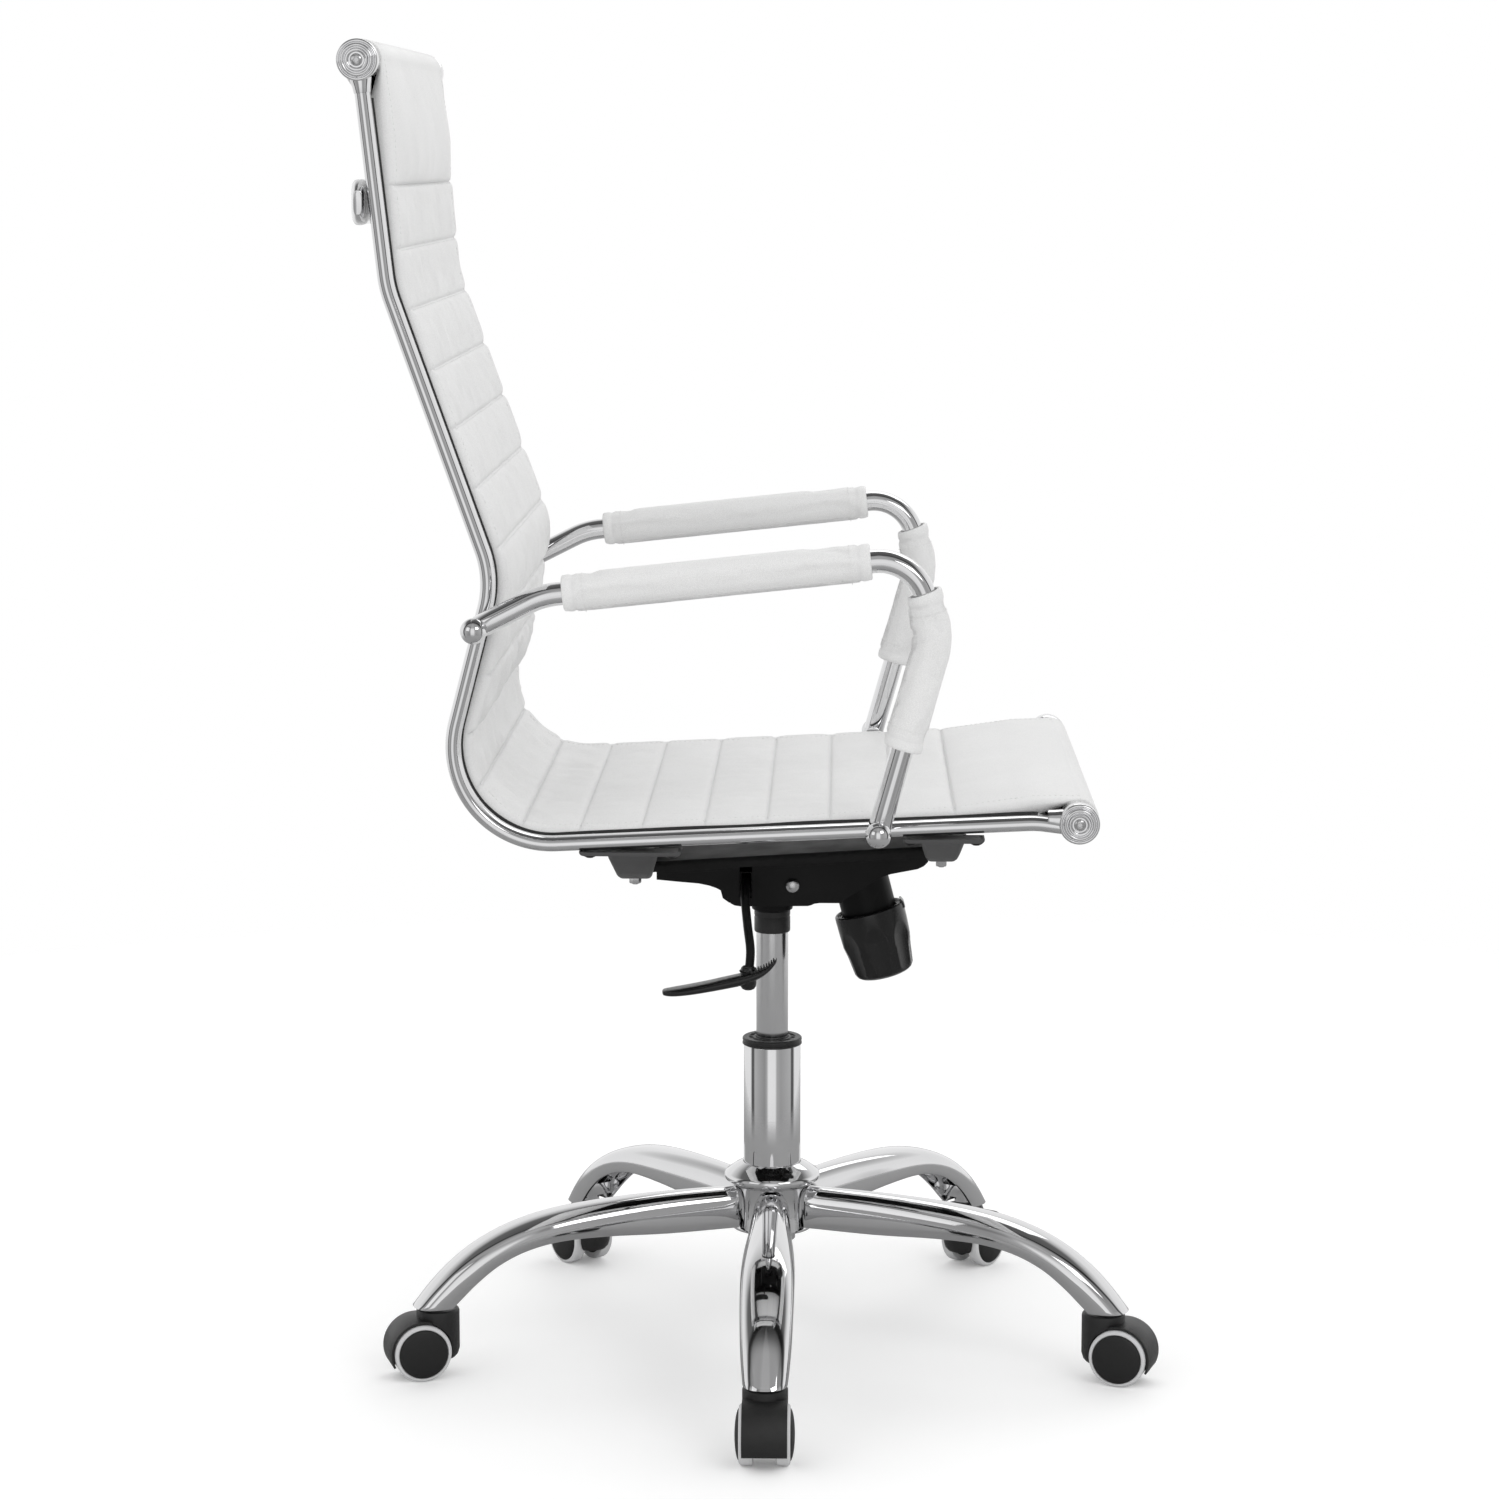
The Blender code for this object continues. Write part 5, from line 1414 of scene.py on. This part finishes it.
def puffField():
    # each panel's swelling between its seams, 0 on the seams and about 1 at its crown
    p = slingShape
    marks = np.array([0.0] + seamMarks + [frameTrack.total])
    rows = []
    for low, high in zip(marks, marks[1:]):
        steps = round((high - low) / p["rowPitch"])
        rows += list(np.linspace(low, high, steps, endpoint=False))
    rows = np.array(rows + [marks[-1]])
    across = np.linspace(-p["half"], p["half"], p["columns"])
    pinnedRows = np.isin(np.round(rows, 6), np.round(marks, 6))
    panel = np.clip(np.searchsorted(marks, rows + 1e-9) - 1, 0, len(marks) - 2)
    share = (rows - marks[panel]) / (marks[panel + 1] - marks[panel]) * 2 - 1
    plain = (1 - np.abs(share) ** 2.2)[:, None] * (1 - np.abs(across / p["half"]) ** 26)[None, :]
    grid = np.zeros((len(rows), len(across), 3))
    grid[..., 0], grid[..., 1] = across[None, :], -rows[:, None]
    index = np.arange(len(rows) * len(across)).reshape(len(rows), -1)
    faces = np.stack([index[:-1, :-1], index[1:, :-1], index[1:, 1:], index[:-1, 1:]], -1).reshape(-1, 4)
    cloth = clothGrid("slingCloth", grid, faces)
    held = np.zeros(index.shape, bool)
    held[pinnedRows] = True
    held[:, [0, -1]] = True
    swollen = settleCloth(cloth, index[held], p["pressure"], p["frames"], p["grow"]).reshape(grid.shape)
    lift = np.abs(swollen[..., 2])
    forget(cloth)
    for k in range(len(marks) - 1):
        inside = panel == k
        top = np.percentile(lift[inside][:, 8:-8].max(0), 60) + 1e-9
        lift[inside] /= top
    return rows, across, np.clip(0.72 * lift + 0.28 * plain, 0, 1.22)


def slingStations():
    # distances along the frame, close together beside each seam
    marks = [0.0] + seamMarks + [frameTrack.total]
    out = []
    for low, high in zip(marks, marks[1:]):
        near = [0, 0.0008, 0.0017, 0.0030, 0.0050]
        out += [low + d for d in near]
        out += list(np.linspace(low + 0.0085, high - 0.0085, round((high - low - 0.017) / 0.0048)))
        out += [high - d for d in near[:0:-1]]
    return np.array(out + [marks[-1]])


def ringRow(outer, inner, half, underHalf, across, bulge=0.0010):
    # one closed section of the sling: face, rolled edge, underside, rolled edge
    # outer and inner are lists of 2-D points, one for each column
    face = [(x, p[0], p[1]) for x, p in zip(across, outer)]
    under = [(x * underHalf / half, p[0], p[1]) for x, p in zip(across, inner)][::-1]

    def roll(x, underX, a, b):
        points = []
        for t in (0.25, 0.5, 0.75):
            out = math.copysign(math.sin(math.pi * t) * bulge, x)
            y, z = (a[k] + (b[k] - a[k]) * t for k in (0, 1))
            points.append((x + (underX - x) * t * t + out, y, z))
        return points

    last = roll(-half, -underHalf, outer[0], inner[0])[::-1]
    return face + roll(half, underHalf, outer[-1], inner[-1]) + under + last


def buildSling():
    p = slingShape
    rows, across, puff = puffField()
    stations = slingStations()
    seams = np.array(seamMarks)
    total = frameTrack.total
    centre, ahead = frameTrack.at(stations), -frameTrack.left(stations)
    marks = np.array([0.0] + seamMarks + [total])
    # the frame's last stretch runs a little below the front roller's axis
    front = np.array(frameShape["front"])
    lift = float((front - frameTrack.at(total)) @ -frameTrack.left(total))
    ends = np.interp(stations, [0, total - 0.05, total], [0, 0, lift])
    lineFace = np.interp(stations, marks, [p["wrapOut"]] + seamFace + [p["wrapOut"]]) + ends
    panel = np.clip(np.searchsorted(marks, stations + 1e-9) - 1, 0, len(marks) - 2)
    rise = np.array(panelRise)[panel]
    crown = np.stack([np.interp(stations, rows, puff[:, k]) for k in range(len(across))], 1)
    nearest = np.abs(stations[:, None] - seams[None, :]).min(1)
    groove = p["groove"] * np.exp(-((nearest / 0.0011) ** 2))
    hem = np.clip((np.abs(across) - (p["half"] - 0.008)) / 0.008, 0, 1)
    rng = np.random.default_rng(12)
    pucker = rng.normal(0, 1, (len(seams), len(across)))
    pucker = (pucker + np.roll(pucker, 1, 1) + np.roll(pucker, -1, 1)) / 3
    pull = np.zeros(crown.shape)
    for k, seam in enumerate(seams):
        pull += 0.00035 * np.exp(-(((stations - seam) / 0.009) ** 2))[:, None] * pucker[k][None, :]
    drawn = groove[:, None] * (1 - 0.6 * hem)
    face = lineFace[:, None] + rise[:, None] * crown - drawn - 0.0009 * hem[None, :] ** 2 + pull * (1 - hem)
    # the headrest swells most just above its seam, and the seat's front lip just behind the arms
    arch = (1 - np.abs(across / p["half"]) ** 5)[None, :]
    t = np.clip(stations / seams[0], 0, 1)
    face = face + p["headrestPillow"] * (t**1.5 * (1 - t) ** 0.5 / 0.3248)[:, None] * arch
    t = np.clip((stations - seams[-1]) / (total - seams[-1]), 0, 1)
    face = face + p["frontPillow"] * (t**0.5 * (1 - t) / 0.385)[:, None] * arch
    # underside: shallower panels, drawn up to the same seams; the roller's pocket at both ends
    under = np.interp(
        stations,
        [0, 0.010, 0.034, 0.06, total - 0.06, total - 0.034, total - 0.010, total],
        [p["wrapIn"], 0.0105, 0.0012, -0.0012, -0.0012, 0.0012, 0.0105, p["wrapIn"]],
    ) + ends
    swell = 0.0016 * crown * (nearest < 0.06)[:, None]
    inner = under[:, None] - swell + 0.8 * groove[:, None] + 0.0010 * hem[None, :] ** 2
    fade = np.clip(np.minimum(stations, total - stations) / 0.012, 0, 1)[:, None]
    face = (p["wrapOut"] + ends[:, None]) * (1 - fade) + face * fade
    inner = (p["wrapIn"] + ends[:, None]) * (1 - fade) + inner * fade

    def at(mid, way, offset):
        return [mid + way * o for o in offset]

    flat = np.ones(len(across))
    rings, shade = [], []

    def addRing(mid, way, outs, ins, seam=0.0):
        rings.append(ringRow(at(mid, way, outs), at(mid, way, ins), p["half"], p["underHalf"], across))
        # painted shade: seam sets how much the seamShade attribute darkens this ring, and the rolled edges
        # always get a little
        side = np.full(len(across), float(seam))
        shade.append(np.concatenate([side, [0.1] * 3, side, [0.1] * 3]))

    def wrapRings(axis, begin):
        for k in range(37):
            angle = begin + (math.pi + beyond) * k / 36
            way = np.array((math.cos(angle), math.sin(angle)))
            addRing(axis, way, flat * p["wrapOut"], flat * p["wrapIn"])

    # sewn flap, over the top roller, down the back, along the seat, round the front roller, sewn flap
    beyond, radius = math.radians(p["overWrap"]), p["wrapOut"]
    leave, offset = radius * math.sin(beyond), radius * math.cos(beyond)

    def flapRings(axis, way, run, first):
        # straight from the roller to where the flap is sewn to the panel's back
        rows = np.linspace(0.0, 1.0, 9)[1:]
        for t in rows[::-1] if first else rows:
            reach = leave + (p["flap"] - leave) * t
            out = offset + (0.0017 - offset) * t
            # the ring at the sewn line gets painted shade
            addRing(
                axis + run * reach, way, flat * out, flat * (out - 0.0045 + 0.0014 * t),
                seam=0.9 * (t > 0.99),
            )

    top, topWay = np.array(frameShape["top"]), frameTrack.left(0.0)
    flapRings(top, topWay, frameTrack.along(0.0), True)
    wrapRings(top, math.atan2(*topWay[::-1]) - beyond)
    first = len(rings)
    for k in range(1, len(stations) - 1):
        # painted shade along each seam's groove
        addRing(centre[k], ahead[k], face[k], inner[k], seam=float(np.exp(-((nearest[k] / 0.0020) ** 2))))
    frontWay = -frameTrack.left(total)
    wrapRings(front, math.atan2(*frontWay[::-1]))
    flapRings(front, -frontWay, -frameTrack.along(total), False)
    mesh = skinned(rings)
    thing = linkSoft(mesh, "slingPanel", np.concatenate(shade))
    finishPiece(thing, "leather", "seat", ["sling_panel"])
    sewSling(np.array(rings), first, stations, ahead, len(across))


def sewSling(points, first, stations, ahead, count):
    # stitching: one row beside each seam on both faces, and one along each edge
    lines, facings = [], []
    for seam in seamMarks:
        k = int(np.abs(stations - (seam + 0.0017)).argmin())
        row = first + k - 1
        normal = np.array((0, ahead[k][0], ahead[k][1]))
        lines.append(points[row, 2 : count - 2] + normal * 0.00005)
        facings.append(np.tile(normal, (count - 4, 1)))
        back = points[row, count + 3 + 2 : count + 3 + count - 2]
        lines.append(back - normal * 0.00005)
        facings.append(np.tile(-normal, (count - 4, 1)))
    for column in (2, count - 3):
        keep = slice(first, first + len(stations) - 2, 2)
        lines.append(points[keep, column])
        facings.append(np.stack([np.zeros(len(points[keep])), ahead[1:-1:2, 0], ahead[1:-1:2, 1]], 1))
    lines = [line + np.array((columnX, 0, 0)) for line in lines]
    addStitches("slingStitches", lines, facings, slingShape["pitch"])


def linkSoft(mesh, name, shade):
    # keeps the ring order, so that the seam shading lands on its own points
    mesh.transform(Matrix.Translation((columnX, 0, 0)))
    bmesh.ops.recalc_face_normals(mesh, faces=mesh.faces)
    data = bpy.data.meshes.new(name)
    mesh.to_mesh(data)
    mesh.free()
    attribute = data.attributes.new("seamShade", "FLOAT", "POINT")
    attribute.data.foreach_set("value", shade.astype(np.float32))
    data.shade_smooth()
    return linked(name, data)


def stitchShape(length=0.0031, radius=0.00030):
    rings = []
    outline = ((-0.5, 0.35, -0.0002), (-0.3, 1.08, 0.00006), (0.3, 1.08, 0.00006), (0.5, 0.35, -0.0002))
    for x, share, sink in outline:
        rings.append([(x * length, y, z + sink) for y, z, _ in circlePoints(radius * share, 0, 5)])
    return skinned(rings)


def addStitches(name, lines, facings, pitch):
    shape = hiddenShape(stitchShape(), "stitchShape")
    shape.data.shade_smooth()
    thing = pointRows(name, lines, facings)
    growWith(thing, "stitches", Stitch=shape, Finish=finish["thread"], Pitch=pitch)
    thing.data.shade_smooth()
    finishPiece(thing, "thread", "seat")
    forget(shape)


sleeveShape = {
    "wall": 0.0040, "inside": 0.0005, "around": 48, "pitch": 0.0045, "stitchPitch": 0.0042, "hem": 0.0078,
    "pressure": 1.2, "frames": 14, "grow": 0.03, "cap": 0.0016,
}
sleeveSpans = {"top": (0.1620, -0.0830, 0), "front": (0.7040, 0.5790, 1)}


def crossing(value, axis, after):
    # distance along the arm where a coordinate falls past a value
    marks = np.arange(after, armTrack.total, 0.0002)
    values = armTrack.at(marks)[:, axis]
    found = np.nonzero((values[:-1] >= value) & (values[1:] < value))[0]
    return marks[found[0]]


def sleeveMarks(low, high):
    # distances along the arm, close together beside each hem
    marks = np.linspace(low + 0.012, high - 0.012, round((high - low - 0.024) / sleeveShape["pitch"]))
    near = [0.0, 0.0006, 0.0016, 0.0040, 0.0066, sleeveShape["hem"], 0.0090]
    return np.array([low + d for d in near] + list(marks) + [high - d for d in near[::-1]])


def sleeveSwell(outer, away, held):
    # how far the sleeve swells between its held hems and seam
    p = sleeveShape
    index = np.arange(outer.shape[0] * p["around"]).reshape(-1, p["around"])
    after = np.roll(index, -1, 1)
    faces = np.stack([index[:-1], after[:-1], after[1:], index[1:]], -1).reshape(-1, 4)
    cloth = clothGrid("sleeveCloth", outer, faces)
    rest = settleCloth(cloth, index[held], p["pressure"], p["frames"], p["grow"], 10.0, 0.25)
    forget(cloth)
    return np.clip(((rest.reshape(outer.shape) - outer) * away).sum(2), -0.0010, p["cap"])


def sleeveFolds(marks, turns):
    # waves along and round the sleeve, about -1 to 1
    rng = np.random.default_rng(31)
    waves = ((260, 2), (410, -3), (150, 1))
    return sum(np.sin(marks[:, None] * f + turns[None, :] * k + rng.uniform(0, 6)) for f, k in waves) / 3


def beside(distance, middle, width, power=2):
    return np.exp(-(((distance - middle) / width) ** power))


def buildSleeve(place, begin, end, axis):
    p, a, around = sleeveShape, armShape, sleeveShape["around"]
    after = 0.30 if axis else 0.0
    low, high = crossing(begin, axis, after), crossing(end, axis, after)
    marks = sleeveMarks(low, high)
    fromEnd = np.minimum(marks - low, high - marks)
    section = oval(around, a["depth"] + 2 * p["wall"] + 0.0012, a["width"] + 2 * p["wall"] - 0.0012, 2.25)
    # the seam runs along the underside and the inner side
    seamAt = int(np.argmax(section[:, 0]))
    outer = sweptRings(armTrack, marks, 0.0, section)
    away = outer - sweptRings(armTrack, marks, 0.0, section * 0)
    away /= np.linalg.norm(away, axis=2)[..., None]
    held = (fromEnd < p["hem"] + 0.0005)[:, None] | (np.arange(around) == seamAt)[None, :]
    lift = sleeveSwell(outer, away, held)
    # folded hems, a stitched groove beside each, and soft folds where the arm bends
    folds = sleeveFolds(marks, np.arctan2(section[:, 1], section[:, 0]))
    bend = beside(marks - low, 0.030, 0.022) if axis else np.zeros(len(marks))
    innerSide = np.clip(section[:, 0] / section[:, 0].max(), 0, 1)
    lift = lift + 0.0021 * bend[:, None] * innerSide[None, :] * folds + 0.00010 * folds
    lift += 0.0007 * beside(fromEnd, 0.0040, 0.0034, 4)[:, None]
    lift -= 0.0008 * beside(fromEnd, 0.0092, 0.0010)[:, None]
    # the side seam's allowance stands out as a narrow fin between two stitched grooves
    seamGap = np.abs((np.arange(around) - seamAt + around / 2) % around - around / 2)
    fin = 0.0020 * (seamGap < 0.5) - 0.0004 * (np.abs(seamGap - 1) < 0.5)
    lift += fin[None, :] * np.clip(fromEnd / 0.012, 0, 1)[:, None]
    lift[fromEnd < 0.0003] -= 0.0008
    if axis:  # the front sleeve flares a little towards its lower end
        lift += (0.0012 * np.clip((marks - (high - 0.05)) / 0.05, 0, 1) ** 2)[:, None]
    skin = outer + away * lift[..., None]
    lining = oval(around, a["depth"] + 2 * p["inside"], a["width"] + 2 * p["inside"], 2.3)
    inside = sweptRings(armTrack, marks, 0.0, lining)
    inside = np.where((fromEnd < 0.002)[:, None, None], inside + away * 0.0012, inside)
    # painted shade in the stitched groove beside each hem and along the side seam's fin
    shade = beside(fromEnd, 0.0092, 0.0012)[:, None] * 0.6 + beside(seamGap, 0.0, 0.9)[None, :] * 0.5
    shade = np.clip(shade, 0, 1)
    for side, sign in sides:
        mirror, shift = np.array((sign * -1.0, 1, 1)), np.array((sign * a["x"], 0, 0))
        rings = list(skin * mirror + shift) + list(inside[::-1] * mirror + shift)
        mesh = skinned([[tuple(q) for q in ring] for ring in rings], closed=True)
        shades = np.concatenate([shade.ravel(), np.zeros(shade.size)])
        thing = linkSoft(mesh, f"armSleeve_{place}_{side}", shades)
        finishPiece(thing, "leather", "seat", [f"arm_sleeve_{place}_{side}"])
        moved = (skin + away * 0.0001) * mirror + shift + np.array((columnX, 0, 0))
        facing = away * mirror
        loop = [k % around for k in range(around + 1)]
        along = slice(7, len(marks) - 7)
        hems, seams = (8, len(marks) - 9), [(seamAt + offset) % around for offset in (-2, 2)]
        lines = [moved[row][loop] for row in hems] + [moved[along, column] for column in seams]
        facings = [facing[row][loop] for row in hems] + [facing[along, column] for column in seams]
        addStitches(f"sleeveStitches_{place}_{side}", lines, facings, p["stitchPitch"])


# parts that keep their own shape get a finish only


def finishKept():
    kept = {
        "thrust_bearing": "zinc", "piston_rod": "zinc", "release_pin": "zinc", "tension_spring": "zinc",
        "lever_slide_block": "blackPlastic", "top_roller": "chrome", "front_roller": "chrome",
    }
    kept.update({f"caster_stem_{k}": "zinc" for k in range(1, 6)})
    for name, look in kept.items():
        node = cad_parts[name]
        node.data.materials.clear()
        node.data.materials.append(finish[look])


bpy.context.scene.view_settings.view_transform = "Standard"
buildCamera()
buildWorld()
buildLights()
buildFloor()
print("studio ready")
buildHub()
buildLegs()
buildColumn()
print("base and column built")
for number in range(1, 6):
    buildHood(number)
    for letter in "ab":
        buildWheel(number, letter)
print("casters built")
buildPan()
buildBracket()
buildPivotPin()
buildKnob()
buildLever()
print("tilt mechanism built")
buildSideFrames()
buildCaps()
buildSpreader()
for row in stretchers:
    buildStretcher(*row)
buildFrameFasteners()
buildArms()
buildGapShadeStrips()
print("seat frame built")
buildSling()
print("sling built")
for place, span in sleeveSpans.items():
    buildSleeve(place, *span)
print("sleeves built")
finishKept()
